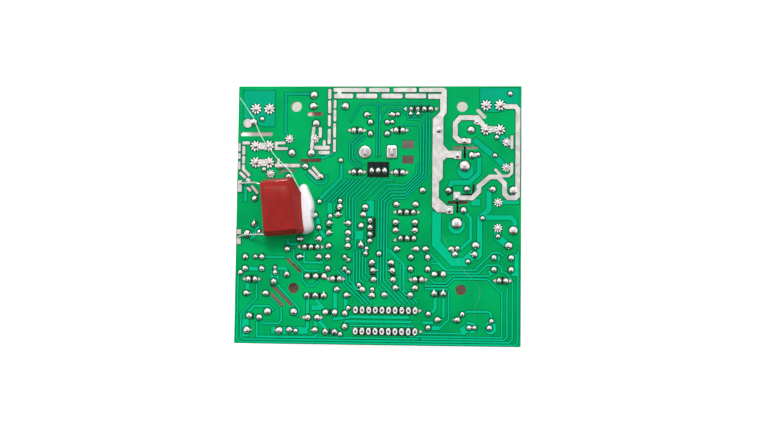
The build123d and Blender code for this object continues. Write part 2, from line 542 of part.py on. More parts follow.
# ================================================================ tinned copper
def tinned_shapes():
    """Heavy tracks that the mask leaves bare and the wave has coated with solder."""
    tip = 0.35
    rear_row = [(-17.8, -5.1), (-3.9, 4.1), (5.5, 14.5)]
    second_row = [(-17.6, -10.1), (-8.8, -0.7), (0.9, 9.1), (10.2, 18.2)]
    outer_column = [(REAR - a, REAR - b) for a, b in ((5.1, 1.1), (10.7, 5.6), (15.8, 11.3), (22.7, 16.7))]
    inner_column = [(REAR - a, REAR - b) for a, b in ((8.8, 5.4), (13.9, 9.2), (20.2, 14.5), (25.8, 20.7))]
    shapes = [ribbon([(a, REAR - 1.5), (b, REAR - 1.5)], 1.6, tip) for a, b in rear_row]
    shapes += [ribbon([(a, REAR - 3.9), (b, REAR - 3.9)], 1.8, tip) for a, b in second_row]
    shapes += [ribbon([(-19.2, a), (-19.2, b)], 1.2, tip) for a, b in outer_column]
    shapes += [ribbon([(-17.1, a), (-17.1, b)], 1.1, tip) for a, b in inner_column]
    shapes += tinned_rear_left() + tinned_left_edge() + tinned_main_run() + tinned_right_loops()
    shapes += [Pos(x, y) * Rectangle(LEAD_PAD_WIDTH, height) for x, y, height in LEAD_PADS]
    shapes.append(flat(ring_points(*SPLASH_POOL, SPLASH_RADIUS, 12)))
    return shapes


def tinned_rear_left():
    """Bars round the relay and the terminals at the rear left."""
    tip = 0.3
    bars = [
        ([(-25.0, 25.9), (-18.8, 25.9)], 1.5), ([(-23.3, 24.0), (-18.8, 24.0)], 1.4),
        ([(-21.1, 28.9), (-21.1, 26.6)], 1.1), ([(-25.2, 34.0), (-26.0, 25.2)], 1.3),
        ([(-22.7, 33.9), (-22.7, 29.8)], 1.2), ([(-53.2, 27.7), (-50.2, 27.7)], 1.2),
        ([(-36.2, 27.7), (-39.9, 27.7), (-39.9, 25.5), (-35.2, 25.5)], 1.1),
        ([(-40.3, 18.9), (-30.4, 18.9)], 1.4), ([(-38.9, 21.7), (-38.9, 18.9)], 1.2),
        ([(-27.0, 17.3), (-23.2, 13.7)], 1.1), ([(-25.6, 18.5), (-22.4, 14.9)], 1.1),
    ]
    link = flat([(-16.4, REAR - 3.4), (-14.4, REAR - 3.4), (-15.0, REAR - 1.8), (-15.9, REAR - 1.8)])
    bridges = [ribbon([(x - 1.2, y), (x + 1.2, y)], 2.6) for x, y in (TAB_PLACES[1], TAB_PLACES[2])]
    return [ribbon(points, width, tip) for points, width in bars] + [link] + bridges


def tinned_left_edge():
    """Two rows of dashes down the left edge, which turn in towards the added capacitor."""
    tip = 0.25
    outer = LEFT + 0.7
    inner = LEFT + 2.4
    dashes = [([(outer, a), (outer, b)], 1.0) for a, b in ((24.4, 27.6), (21.4, 23.7), (17.3, 20.5))]
    dashes += [([(inner, a), (inner, b)], 1.2) for a, b in ((23.0, 26.5), (19.6, 22.6))]
    dashes += [
        ([(inner, 19.2), (inner, 17.4), (-50.0, 14.8)], 1.2), ([(-54.0, 16.2), (-51.6, 13.9)], 1.1),
        ([(-51.0, 10.4), (-49.4, 8.8)], 1.0), ([(-49.4, 11.0), (-46.6, 8.0)], 1.1),
        ([(-51.4, 13.6), (-49.8, 12.7)], 1.4),
    ]
    return [ribbon(points, width, tip) for points, width in dashes]


def tinned_main_run():
    """The broadest track, which runs from the rear edge to the power switches."""
    left, right = 20.9, 24.9
    run = flat([
        (15.6, REAR - 0.7), (25.4, REAR - 0.7), (26.2, REAR - 1.6), (26.2, REAR - 10.4),
        (25.0, REAR - 12.1), (25.0, 27.2),
        (27.0, 24.9), (29.6, 24.9), (29.6, 22.2), (26.4, 22.2), (right, 20.8), (right, 14.1),
        (23.5, 12.9), (23.5, 6.5), (26.6, 3.6), (26.6, 1.1), (23.0, 1.1), (left, 3.2),
        (left, REAR - 12.8), (23.7, REAR - 10.1), (23.7, REAR - 5.0), (19.1, REAR - 5.0),
        (19.1, REAR - 3.1), (24.2, REAR - 3.1),
        (24.2, REAR - 2.3), (15.6, REAR - 2.3),
    ])
    pads = [Pos(30.6, 23.3) * Rectangle(2.8, 3.2), Pos(27.7, 2.1) * Rectangle(2.6, 3.0)]
    return [run] + pads


def tinned_right_loops():
    """Tracks that loop between the terminals, the chokes and the power switches."""
    edge = RIGHT - 1.4
    loops = [
        ([(41.3, 33.4), (38.2, 37.7), (31.6, 37.7), (29.6, 35.6), (29.6, 30.3), (31.2, 28.7),
          (35.7, 28.7)], 1.9),
        ([(edge - 5.2, 42.0), (edge - 0.9, 42.0), (edge, 41.0), (edge, 7.6), (edge - 0.8, 6.8),
          (edge - 3.6, 6.8), (edge - 5.0, 8.4), (edge - 5.0, 12.3), (edge - 7.5, 14.8), (edge - 10.6, 14.8),
          (38.8, 11.2), (38.8, 9.2), (36.3, 6.7), (30.4, 6.7)], 1.8),
        ([(edge - 2.3, 30.9), (edge - 2.3, 25.5)], 1.1),
        ([(edge - 2.3, 20.4), (edge - 2.3, 16.4), (edge - 3.5, 15.2), (edge - 6.2, 15.2),
          (edge - 8.8, 17.9)], 1.1),
    ]
    extra = [ribbon([(36.9, 36.4), (39.0, 35.6)], 1.8), Pos(30.4, 7.2) * Rectangle(2.6, 3.6),
             ribbon([(43.0, 33.2), (45.2, 33.2)], 2.2), ribbon([(36.6, 23.3), (38.2, 23.3)], 1.4)]
    return [ribbon(points, width, 0.3) for points, width in loops] + extra


def solder_thieves():
    """Pointed pads that draw off the last solder at the end of a close row: place and direction."""
    places = [(10.7, 41.1, 180), (21.9, 41.1, 0), (16.2, -36.7, 0), (16.6, -44.6, 0)]
    places += [(7.1, 1.05, 180), (15.3, 1.05, 0), (7.2, -9.6, 200), (-29.8, -12.6, 180), (-21.7, -12.6, 0)]
    for x, y in LED_PLACES:
        places += [(x - LED_PITCH / 2 - SMALL_JOINT, y, 180), (x + LED_PITCH / 2 + SMALL_JOINT, y, 0)]
    places += [(-26.5 - SMALL_JOINT, -39.75, 180), (-22.9 + SMALL_JOINT, -39.75, 0)]
    return [flat(turned((x, y), angle, [(0.0, -0.75), (1.25, 0.0), (0.0, 0.75)])) for x, y, angle in places]


def bare_shapes():
    """Everything that the mask leaves bare."""
    return tinned_shapes() + solder_thieves()


def tinned_tracks():
    """The bare tracks with their coat of solder."""
    return layer(bare_shapes(), SOLDER_FACE, TINNED_FACE - SOLDER_FACE, holes=board_openings())


# ================================================================ printed ink
def silkscreen_marks():
    """Black ink: the panel at the speed control and the dams between close joints."""
    dam = 0.55
    marks = [Pos(SHAFT_PLACE[0], INK_PANEL_Y) * Rectangle(*INK_PANEL)]
    for n in range(CHIP_PINS_A_ROW - 1):
        x = CHIP_CENTRE[0] + (n + 1 - CHIP_PINS_A_ROW / 2) * CHIP_PIN_PITCH
        marks += [Pos(x, CHIP_CENTRE[1] + side * CHIP_JOINT_ROW / 2) * Rectangle(dam, 3.0)
                  for side in (-1, 1)]
    marks += [Pos(x, y) * Rectangle(dam, 3.4) for x, y in LED_PLACES]
    for pins in TRANSISTOR_PINS + [SOCKET_REAR]:
        marks += [Pos((a[0] + b[0]) / 2, a[1]) * Rectangle(dam, 2.8) for a, b in zip(pins, pins[1:])]
    marks += [Pos(x, y) * Rectangle(2.6, dam) for x, y in
              ((-2.9, -3.5), (-2.9, -6.1), (-2.9, -8.7), (-15.4, 1.5), (-5.2, 1.5), (-18.8, -5.1),
               (6.9, -4.35), (14.5, -4.35), (-2.0, -19.9), (5.6, -19.9), (-1.5, -23.1), (6.1, -23.1))]
    marks += [Pos(x, y) * Rectangle(dam, 2.6) for x, y in
              ((-25.35, -23.8), (-22.05, -23.8), (-25.35, -31.4), (-22.05, -31.4), (23.75, -22.6),
               (23.75, -30.2), (-17.9, -37.6), (-17.9, -45.2), (-47.7, -39.6))]
    marks.append(Pos(-1.15, -4.9) * Rectangle(0.9, 7.6))
    marks.append(ribbon([(26.6, 7.6), (28.4, 8.6), (28.4, 11.0)], 0.8))
    marks.append(ribbon([(32.6, 8.0), (36.6, 8.0), (36.8, 12.0)], 0.8))
    return layer(marks, COPPER_FACE, INK_THICKNESS, holes=bare_shapes())


# ================================================================ solder joints
def joint(x, y, radius, ratio=1.0, lean=None, height=JOINT_HEIGHT, sides=JOINT_SIDES, lobe=1.0):
    """One solder fillet. A clinched lead draws its tip over in the direction lean, in degrees."""
    shift = (0.0, 0.0)
    if lean is not None:
        shift = (JOINT_LEAN * math.cos(math.radians(lean)), JOINT_LEAN * math.sin(math.radians(lean)))
    foot = ring_points(x, y, radius, sides, ratio, lobe=lobe)
    tip = ring_points(x + shift[0], y + shift[1], radius * JOINT_TOP_SHARE, sides, ratio, lobe=lobe)
    levels = [(foot, TINNED_FACE), (tip, TINNED_FACE + height)]
    return faceted([[(px, py, level) for px, py in points] for points, level in levels])


def axial_joints():
    """Joints of all parts whose two leads are bent towards each other: x, y, radius, ratio, lean."""
    joints = []
    sizes = [(RESISTORS + DIODES + JUMPERS, SMALL_JOINT), (POWER_RESISTORS, LARGE_JOINT)]
    for parts, radius in sizes:
        for x, y, pitch, angle in parts:
            first, second = ends(x, y, pitch, angle)
            joints += [(*first, radius, 1.0, angle), (*second, radius, 1.0, angle + 180)]
    return joints


def upright_joints():
    """Joints of parts that stand on straight pins: x, y, radius, ratio, lean."""
    joints = []
    for x, y, pitch, angle in DISC_CAPACITORS:
        joints += [(*pin, 1.1, 1.0, None) for pin in ends(x, y, pitch, angle)]
    for x, y, pitch, angle, _, _ in CANS:
        joints += [(*pin, 1.25, 1.0, None) for pin in ends(x, y, pitch, angle)]
    for x, y in LED_PLACES:
        joints += [(*pin, 1.05, 1.2, None) for pin in ends(x, y, LED_PITCH, 0)]
    for place in SWITCH_PLACES:
        joints += [(*pin, 1.15, 1.05, None) for pin in switch_pins(place)]
    for side in (-1, 1):
        for x in chip_columns():
            joints.append((x, CHIP_CENTRE[1] + side * CHIP_JOINT_ROW / 2, 0.95, 1.5, 90 * side))
    for pins in TRANSISTOR_PINS:
        joints += [(*pin, 1.0, 1.15, None) for pin in pins]
    joints += [(*pin, 1.0, 1.15, None) for pin in SOCKET_REAR]
    joints += [(*pin, 1.1, 0.95, None) for pin in SOCKET_MIDDLE]
    joints += [(SHAFT_PLACE[0] + side * POT_PIN_PITCH, POT_PIN_Y, 1.0, 1.3, None) for side in (-1, 0, 1)]
    joints += [(*pin, 1.45, 1.0, None) for pin in RELAY_COIL + BOX_FILM_PINS + VARISTOR_PINS]
    joints += [(*pin, 1.7, 1.0, None) for pin in X_CAPACITOR_PINS]
    joints += [(*pin, 1.15, 1.0, None) for pin in BUZZER_PINS]
    for triac in TRIACS:
        joints += [(*pin, 1.2, 1.15, None) for pin in triac["outer"] + [triac["middle"]]]
    joints += [(*LEAD_JOINT, 1.5, 1.0, None), (*SPLASH_JOINT, 1.45, 1.0, None)]
    return joints


def heavy_joints():
    """Broad joints at the pins of the heatsinks."""
    return [(*triac["sink_pin"], SINK_JOINT, 1.0, None) for triac in TRIACS]


def lug_joints():
    """Flat joints at the lugs of the speed control, round on the left and square on the right."""
    shapes = []
    for side, outline in ((-1, flat(ring_points(0, 0, LUG_PAD[1] / 2, 12))), (1, Rectangle(*LUG_PAD))):
        pad = extrude(outline, amount=LUG_JOINT_HEIGHT, taper=30)
        lug = Pos(0, 0, LUG_END_HEIGHT / 2) * Box(LUG_END[0], LUG_END[1], LUG_END_HEIGHT)
        shapes.append(Pos(SHAFT_PLACE[0] + side * POT_LUG_X, SHAFT_PLACE[1], TINNED_FACE) * (pad + lug))
    return shapes


def star_places():
    """Pads with a ring of teeth, for the terminals, the relay contacts and the chokes."""
    pairs = [pin for place in TAB_PLACES for pin in ends(*place, TAB_PIN_PITCH, 0)]
    stars = [(x, y, 2.2) for x, y in pairs]
    return stars + [(x, y, 1.75) for x, y in RELAY_CONTACTS + [(-41.9, 15.6)] + CHOKE_PINS[0] + CHOKE_PINS[1]]


def spaced(joints):
    """The joints with each one narrowed where it would run into its neighbour."""
    result = []
    for index, (x, y, radius, ratio, lean) in enumerate(joints):
        for other, (ox, oy, other_radius, other_ratio, _) in enumerate(joints):
            apart = math.hypot(ox - x, oy - y)
            together = radius * max(ratio, 1) + other_radius * max(other_ratio, 1)
            if other != index and apart < together + JOINT_GAP:
                along_y = abs(oy - y) / apart
                reach = 1 + (ratio - 1) * along_y
                other_reach = other_radius * (1 + (other_ratio - 1) * along_y)
                room = (apart - JOINT_GAP) * (radius * reach) / (radius * reach + other_reach)
                radius = min(radius, room / reach)
        result.append((x, y, radius, ratio, lean))
    return result


def all_joints():
    """Every joint: round ones, stars and test points, narrowed where they are close."""
    rounds = axial_joints() + upright_joints() + heavy_joints()
    stars = [(x, y, radius, 1.0, None) for x, y, radius in star_places()]
    points = [(x, y, 0.95, 1.0, None) for x, y in TEST_POINTS]
    fitted = spaced(rounds + stars + points)
    stars_from = len(rounds)
    points_from = stars_from + len(stars)
    return fitted[:stars_from], fitted[stars_from:points_from], fitted[points_from:]


# ================================================================ parts below the board
def hang(shape, place, angle=0.0):
    """Puts a part made standing on the ground plane below the board, upside down."""
    return Pos(place[0], place[1], COMPONENT_FACE) * Rot(0, 0, angle) * Rot(180, 0, 0) * shape


def middle(pins):
    """The point halfway between two pins."""
    (x0, y0), (x1, y1) = pins
    return (x0 + x1) / 2, (y0 + y1) / 2


def heading(pins):
    """The direction from the first pin to the second, in degrees, and their distance."""
    (x0, y0), (x1, y1) = pins
    return math.degrees(math.atan2(y1 - y0, x1 - x0)), math.hypot(x1 - x0, y1 - y0)


def bent_wire(pitch, height, wire=WIRE):
    """A wire that rises, crosses over and comes down, for a part that lies flat."""
    outer = pitch / 2 + wire / 2
    inner = pitch / 2 - wire / 2
    top, low = height + wire / 2, height - wire / 2
    arch = make_face(Polyline((-outer, 0), (-outer, top), (outer, top), (outer, 0), (inner, 0),
                              (inner, low), (-inner, low), (-inner, 0), close=True))
    return Pos(0, wire / 2, 0) * Rot(90, 0, 0) * extrude(arch, amount=wire)


def lying_part(pitch, length, diameter, sides=6):
    """A cylinder-like part on a bent wire."""
    height = BODY_LIFT + diameter / 2
    radius = diameter / 2
    body = Pos(0, 0, height) * Rot(0, 90, 0) * lathe([(radius, -length / 2), (radius, length / 2)], sides)
    return bent_wire(pitch, height) + body


def two_leads(pitch, length, wire=WIRE):
    """Straight leads from the board up to a standing part."""
    return [Pos(side * pitch / 2, 0, length / 2) * Box(wire, wire, length) for side in (-1, 1)]


def resistors():
    """Quarter-watt and half-watt resistors."""
    shapes = []
    for x, y, pitch, angle in RESISTORS:
        size = QUARTER_BODY if pitch == QUARTER_PITCH else HALF_BODY
        shapes.append(hang(lying_part(pitch, *size), (x, y), angle))
    return group(shapes)


def diodes():
    """Rectifier diodes."""
    shapes = []
    for x, y, pitch, angle in DIODES:
        shapes.append(hang(lying_part(pitch, *DIODE_BODY), (x, y), angle))
    return group(shapes)


def jumper_wires():
    """Plain wire links."""
    height = WIRE / 2 + BODY_LIFT
    return group([hang(bent_wire(pitch, height), (x, y), angle) for x, y, pitch, angle in JUMPERS])


def power_resistors():
    """Larger resistors that stand off the board on their leads."""
    shapes = []
    for x, y, pitch, angle in POWER_RESISTORS:
        shapes.append(hang(lying_part(pitch, *POWER_BODY, sides=10), (x, y), angle))
    return group(shapes)


def disc_capacitors():
    """Small ceramic discs on two leads."""
    shapes = []
    for x, y, pitch, angle in DISC_CAPACITORS:
        centre = DISC_LIFT + DISC_RADIUS
        half = DISC_THICKNESS / 2
        disc = Pos(0, 0, centre) * Rot(90, 0, 0) * lathe([(DISC_RADIUS, -half), (DISC_RADIUS, half)], 10)
        shapes.append(hang(disc + two_leads(pitch, centre), (x, y), angle))
    return group(shapes)


def electrolytic_can(radius, height):
    """An aluminium can in its sleeve, with the rolled groove near its foot and a rounded top."""
    groove = 1.4
    profile = [(radius, 0), (radius, groove), (radius - CAN_GROOVE, groove + 0.5), (radius, groove + 1.0),
               (radius, height - 0.6), (radius - 0.6, height)]
    return lathe(profile, 14)


def leds():
    """Round lights on long leads, held up by the spacers."""
    shapes = []
    straight = LED_LENGTH - LED_RADIUS
    for place in LED_PLACES:
        base = LED_TIP - LED_LENGTH
        lamp = lathe([(LED_RADIUS, base), (LED_RADIUS, base + straight), (LED_RADIUS * 0.6, LED_TIP)], 8)
        shapes.append(hang(lamp + two_leads(LED_PITCH, base + 0.5, 0.5), place))
    return group(shapes)


def led_spacers():
    """Tubes that hold the lights at the height of the front panel."""
    height = LED_TIP - LED_LENGTH
    section = flat(ring_points(0, 0, SPACER_RADIUS, 6)) - flat(ring_points(0, 0, SPACER_RADIUS - 0.5, 6))
    tube = extrude(section, amount=height)
    return group([hang(tube, place) for place in LED_PLACES])


def switch_pins(place):
    """The four pins of a push switch."""
    return [(place[0] + sx * SWITCH_PIN_X / 2, place[1] + sy * SWITCH_PIN_Y / 2)
            for sx in (-1, 1) for sy in (-1, 1)]


def collar_start():
    """Height of the plunger's inner end at rest."""
    return SWITCH_HEIGHT - SWITCH_COVER - PLUNGER_PLAY - PLUNGER_COLLAR


def well_floor():
    """Height of the floor that the dome lies on."""
    return collar_start() - PLUNGER_TRAVEL - DOME_GAP - DOME_THICKNESS


def switch_base(place):
    """The moulded base of a push switch, with the well for its dome and plunger, and its pins."""
    well_radius = DOME_RADIUS + 0.1
    base_height = SWITCH_HEIGHT - SWITCH_COVER
    floor = well_floor()
    body = extrude(Rectangle(SWITCH_SIZE, SWITCH_SIZE) - flat(ring_points(0, 0, well_radius, PLUNGER_SIDES)),
                   amount=base_height)
    body += extrude(Rectangle(SWITCH_SIZE, SWITCH_SIZE), amount=floor)
    for sx in (-1, 1):
        for sy in (-1, 1):
            x = sx * (SWITCH_PIN_X / 2 - 0.15)
            body += Pos(x, sy * SWITCH_PIN_Y / 2, 0.6) * Box(0.3, 0.7, 1.2)
    return hang(body, place)


def switch_covers():
    """Pressed metal covers over the switches, each with the hole for its plunger."""
    hole = PLUNGER_RADIUS + PLUNGER_CLEARANCE
    sheet = extrude(Rectangle(SWITCH_SIZE, SWITCH_SIZE) - flat(ring_points(0, 0, hole, PLUNGER_SIDES)),
                    amount=SWITCH_COVER)
    return group([hang(Pos(0, 0, SWITCH_HEIGHT - SWITCH_COVER) * sheet, place) for place in SWITCH_PLACES])


def switch_domes():
    """Sprung metal discs in the wells, which each plunger rests over."""
    disc = lathe([(DOME_RADIUS, 0), (DOME_RADIUS * 0.6, DOME_THICKNESS)], PLUNGER_SIDES)
    return group([hang(Pos(0, 0, well_floor()) * disc, place) for place in SWITCH_PLACES])


def switch_plunger(place):
    """The round plunger of a switch, with the collar that the cover holds in."""
    start = collar_start()
    collar = DOME_RADIUS - 0.05
    shoulder = start + PLUNGER_COLLAR
    profile = [(collar, start), (collar, shoulder), (PLUNGER_RADIUS, shoulder),
               (PLUNGER_RADIUS, PLUNGER_TIP - 0.3), (PLUNGER_RADIUS - 0.3, PLUNGER_TIP)]
    return hang(lathe(profile, PLUNGER_SIDES), place)


def potentiometer_housing():
    """The speed control's case, bushing, pins and lugs, hollow for the rotor and the shaft."""
    width, depth, height = POT_BODY
    up = (Align.CENTER, Align.CENTER, Align.MIN)
    bush_end = height + POT_BUSH_HEIGHT
    bush = lathe([(POT_BUSH_RADIUS, height - 1), (POT_BUSH_RADIUS, bush_end - 0.5),
                  (POT_BUSH_RADIUS - 0.4, bush_end)], 14)
    cavity = POT_ROTOR_RADIUS + 0.4
    case = Box(width, depth, height, align=up) + bush
    case -= lathe([(cavity, POT_WALL), (cavity, POT_WALL + POT_ROTOR_HEIGHT + 0.6)], 12)
    case -= Pos(0, 0, POT_WALL) * Cylinder(JOURNAL_RADIUS + SHAFT_CLEARANCE, bush_end, align=up)
    pin_reach = SHAFT_PLACE[1] - POT_PIN_Y
    for side in (-1, 0, 1):
        pin_x = side * POT_PIN_PITCH
        case += Pos(pin_x, pin_reach, 0.5) * Box(0.8, 0.5, 1.0)
        case += Pos(pin_x, (depth / 2 + pin_reach) / 2, 1.25) * Box(0.8, pin_reach - depth / 2 + 0.5, 0.5)
    for side in (-1, 1):
        case += Pos(side * (width / 2 + 0.2), 0, 2.5) * Box(0.4, 2.0, 5.0)
    return hang(case, SHAFT_PLACE)


def potentiometer_shaft():
    """The turning shaft with the flat for its knob, and the rotor that carries the wiper."""
    up = (Align.CENTER, Align.CENTER, Align.MIN)
    foot = POT_WALL + 0.2
    knob_start = SHAFT_TIP - SHAFT_KNOB_LENGTH
    shaft = Pos(0, 0, foot) * Cylinder(JOURNAL_RADIUS, knob_start - foot, align=up)
    shaft += Pos(0, 0, knob_start) * Cylinder(SHAFT_RADIUS, SHAFT_KNOB_LENGTH, align=up)
    rotor = lathe([(POT_ROTOR_RADIUS, foot), (POT_ROTOR_RADIUS, foot + POT_ROTOR_HEIGHT)], 12)
    flat_cut = Pos(0, SHAFT_FLAT + SHAFT_RADIUS, SHAFT_TIP) * Box(
        4 * SHAFT_RADIUS, 2 * SHAFT_RADIUS, SHAFT_KNOB_LENGTH, align=(Align.CENTER, Align.CENTER, Align.MAX))
    return hang(shaft + rotor - flat_cut, SHAFT_PLACE)


def tab_terminal(place):
    """A push-on blade terminal with two feet."""
    half, foot = TAB_WIDTH / 2, TAB_PIN_PITCH / 2
    blade = make_face(Polyline(
        (-foot - 0.6, 0), (-foot - 0.6, TAB_SHOULDER), (-half, TAB_SHOULDER),
        (-half, TAB_HEIGHT - TAB_CHAMFER), (-half + TAB_CHAMFER, TAB_HEIGHT),
        (half - TAB_CHAMFER, TAB_HEIGHT), (half, TAB_HEIGHT - TAB_CHAMFER),
        (half, TAB_SHOULDER), (foot + 0.6, TAB_SHOULDER), (foot + 0.6, 0), (foot - 0.6, 0),
        (foot - 0.6, TAB_SHOULDER / 2), (-foot + 0.6, TAB_SHOULDER / 2), (-foot + 0.6, 0), close=True))
    blade -= Pos(0, TAB_HEIGHT * 0.62) * RegularPolygon(0.9, 6)
    return hang(Pos(0, TAB_THICKNESS / 2, 0) * Rot(90, 0, 0) * extrude(blade, amount=TAB_THICKNESS), place)


def relay():
    """A sealed relay in its box, with four pins."""
    width, depth, height = RELAY_BODY
    box = Pos(0, 0, RELAY_LIFT) * chamfered_box(width, depth, height)
    for x, y in RELAY_CONTACTS + RELAY_COIL:
        box += Pos(x - RELAY_PLACE[0], RELAY_PLACE[1] - y, RELAY_LIFT / 2) * Box(1.0, 0.5, RELAY_LIFT)
    return hang(box, RELAY_PLACE)


def chamfered_box(width, depth, height):
    """A box standing on the ground plane with its upper edges broken."""
    box = Box(width, depth, height, align=(Align.CENTER, Align.CENTER, Align.MIN))
    return chamfer(box.faces().sort_by(Axis.Z)[-1].edges(), BOX_EDGE)


def varistor():
    """A coated disc on two leads that straddle the slot."""
    angle, pitch = heading(VARISTOR_PINS)
    centre = STAND_HEIGHT - VARISTOR_RADIUS
    half = VARISTOR_THICKNESS / 2
    profile = [(VARISTOR_RADIUS - 0.8, -half), (VARISTOR_RADIUS, 0.8 - half), (VARISTOR_RADIUS, half - 0.8),
               (VARISTOR_RADIUS - 0.8, half)]
    disc = Pos(0, 0, centre) * Rot(90, 0, 0) * lathe(profile, 18)
    return hang(disc + two_leads(pitch, centre - 2.0, 0.8), middle(VARISTOR_PINS), angle)


def standing_box(pins, body):
    """A film capacitor in a moulded box, on two leads."""
    angle, pitch = heading(pins)
    lift = 0.4
    return hang(Pos(0, 0, lift) * chamfered_box(*body) + two_leads(pitch, lift), middle(pins), angle)


def choke(pins):
    """A wound rod core lying on its two leads."""
    angle, pitch = heading(pins)
    length = pitch - 1.4
    height = BODY_LIFT + CHOKE_RADIUS
    end, shoulder = length / 2, length / 2 - CHOKE_FLANGE
    profile = [(CHOKE_CORE_RADIUS, -end), (CHOKE_CORE_RADIUS, -shoulder), (CHOKE_RADIUS, -shoulder),
               (CHOKE_RADIUS, shoulder), (CHOKE_CORE_RADIUS, shoulder), (CHOKE_CORE_RADIUS, end)]
    core = Pos(0, 0, height) * Rot(0, 90, 0) * lathe(profile, 12)
    return hang(core + bent_wire(pitch, height, 0.8), middle(pins), angle)


def sink_frame():
    """Depth, measured forward from the heatsink's pin, of its front face and of the legs' plane."""
    face = SINK_WALL / 2
    return face, face + TRIAC_TAB + 1.3


def heatsink(triac):
    """An aluminium channel with ribs, standing on one pin, with the hole for the screw."""
    height = STAND_HEIGHT - SINK_LIFT
    section = Rectangle(SINK_WIDTH, SINK_WALL)
    for n in range(4):
        x = -SINK_WIDTH / 2 + SINK_WALL / 2 + n * (SINK_WIDTH - SINK_WALL) / 3
        section += Pos(x, SINK_DEPTH / 2) * Rectangle(SINK_WALL * 0.75, SINK_DEPTH)
    channel = Pos(0, 0, SINK_LIFT) * extrude(section, amount=height)
    channel -= screw_bore(SCREW_RADIUS + 0.1, -2 * SINK_WALL, 2 * SINK_WALL)
    channel -= screw_bore(SCREW_HEAD_RADIUS + 0.4, SINK_WALL / 2, 2 * SINK_DEPTH)
    pin = lathe([(SINK_PIN_RADIUS, 0), (SINK_PIN_RADIUS, SINK_LIFT)], 8)
    return hang(channel + pin, triac["sink_pin"])


def screw_bore(radius, start, end):
    """The space of a bore along the fastening screw, from depth start to depth end."""
    return Pos(0, 0, screw_height()) * Rot(-90, 0, 0) * lathe([(radius, start), (radius, end)], 8)


def screw_height():
    """Height of the fastening screw over the board's lower face."""
    return TRIAC_LIFT + TRIAC_TAB_LENGTH - 2.8


def triac_body(triac):
    """A three-leg power switch with its metal tab against the heatsink."""
    width, depth, height = TRIAC_BODY
    face, leg_plane = sink_frame()
    back = -face
    up_front = (Align.CENTER, Align.MAX, Align.MIN)
    shape = Pos(0, back - 0.8, TRIAC_LIFT) * Box(width, depth - 0.8, height, align=up_front)
    shape += Pos(0, back, TRIAC_LIFT) * Box(width, TRIAC_TAB, TRIAC_TAB_LENGTH, align=up_front)
    shape -= screw_bore(SCREW_RADIUS + 0.1, back - 2 * TRIAC_TAB, back + TRIAC_TAB)
    origin = triac["sink_pin"]
    for pin, slot in zip([triac["outer"][0], triac["middle"], triac["outer"][1]], (-2.5, 0.0, 2.5)):
        dx, dy = pin[0] - origin[0], -(pin[1] - origin[1])
        shape += leg((slot, -leg_plane, TRIAC_LIFT + 0.5), (dx, dy, 0.0))
    return hang(shape, origin)


def leg(top, foot, wire=0.8):
    """A leg bent from a body above to its hole in the board."""
    knee = 1.5
    upper = Wire.make_polygon([(top[0] + sx * wire / 2, top[1] + sy * wire / 2, top[2])
                               for sx, sy in ((-1, -1), (1, -1), (1, 1), (-1, 1))])
    lower = Wire.make_polygon([(foot[0] + sx * wire / 2, foot[1] + sy * wire / 2, knee)
                               for sx, sy in ((-1, -1), (1, -1), (1, 1), (-1, 1))])
    bent = Solid.make_loft([lower, upper], ruled=True)
    return bent + Pos(foot[0], foot[1], knee / 2) * Box(wire, wire, knee)


def heatsink_screws():
    """A screw and nut through each heatsink and power switch."""
    shapes = []
    for triac in TRIACS:
        face, _ = sink_frame()
        tab_front = -face - TRIAC_TAB
        shank_length = TRIAC_TAB + SINK_WALL + 2.4
        shank = lathe([(SCREW_HEAD_RADIUS, -SCREW_HEAD), (SCREW_HEAD_RADIUS, 0), (SCREW_RADIUS, 0),
                       (SCREW_RADIUS, shank_length)], 8)
        nut_start = TRIAC_TAB + SINK_WALL
        nut = lathe([(SCREW_HEAD_RADIUS, nut_start), (SCREW_HEAD_RADIUS, nut_start + 2.0)], 6)
        screw = Pos(0, tab_front, screw_height()) * Rot(-90, 0, 0) * (shank + nut)
        shapes.append(hang(screw, triac["sink_pin"]))
    return group(shapes)


def chip_columns():
    """The x places of the chip's legs."""
    first = CHIP_CENTRE[0] - (CHIP_PINS_A_ROW - 1) / 2 * CHIP_PIN_PITCH
    return [first + n * CHIP_PIN_PITCH for n in range(CHIP_PINS_A_ROW)]


def controller_chip():
    """The controller in its twenty-leg body, with the notch at one end."""
    width, depth, height = CHIP_BODY
    up = (Align.CENTER, Align.CENTER, Align.MIN)
    body = Pos(0, 0, CHIP_LIFT) * Box(width, depth, height, align=up)
    body -= Pos(-width / 2, 0, CHIP_LIFT + height) * Cylinder(1.0, 1.0)
    row = CHIP_ROW / 2
    shoulder = CHIP_LIFT + height / 2
    inside, outside = depth / 2 - 0.3, row + 0.15
    for side in (-1, 1):
        profile = [(side * inside, shoulder), (side * outside, shoulder), (side * outside, 0),
                   (side * (outside - 0.3), 0), (side * (outside - 0.3), shoulder - 0.3),
                   (side * inside, shoulder - 0.3)]
        strip = make_face(Plane.YZ * Polyline(*profile, close=True))
        body += [Pos(x - CHIP_CENTRE[0] - CHIP_LEG / 2, 0, 0) * extrude(strip, amount=CHIP_LEG, dir=(1, 0, 0))
                 for x in chip_columns()]
    return hang(body, CHIP_CENTRE)


def wafer_socket(pins, depth):
    """An open-topped plug socket with one row of pins."""
    angle, length = heading([pins[0], pins[-1]])
    up = (Align.CENTER, Align.CENTER, Align.MIN)
    width = length + 4.8
    box = Box(width, depth, SOCKET_HEIGHT, align=up)
    box -= Pos(0, 0, SOCKET_WALL) * Box(width - 2 * SOCKET_WALL, depth - 2 * SOCKET_WALL,
                                        SOCKET_HEIGHT, align=up)
    step = length / (len(pins) - 1)
    for n in range(len(pins)):
        box += Pos(-length / 2 + n * step, 0, 0) * Box(0.64, 0.64, SOCKET_HEIGHT - 1.0, align=up)
    return hang(box, middle([pins[0], pins[-1]]), angle)


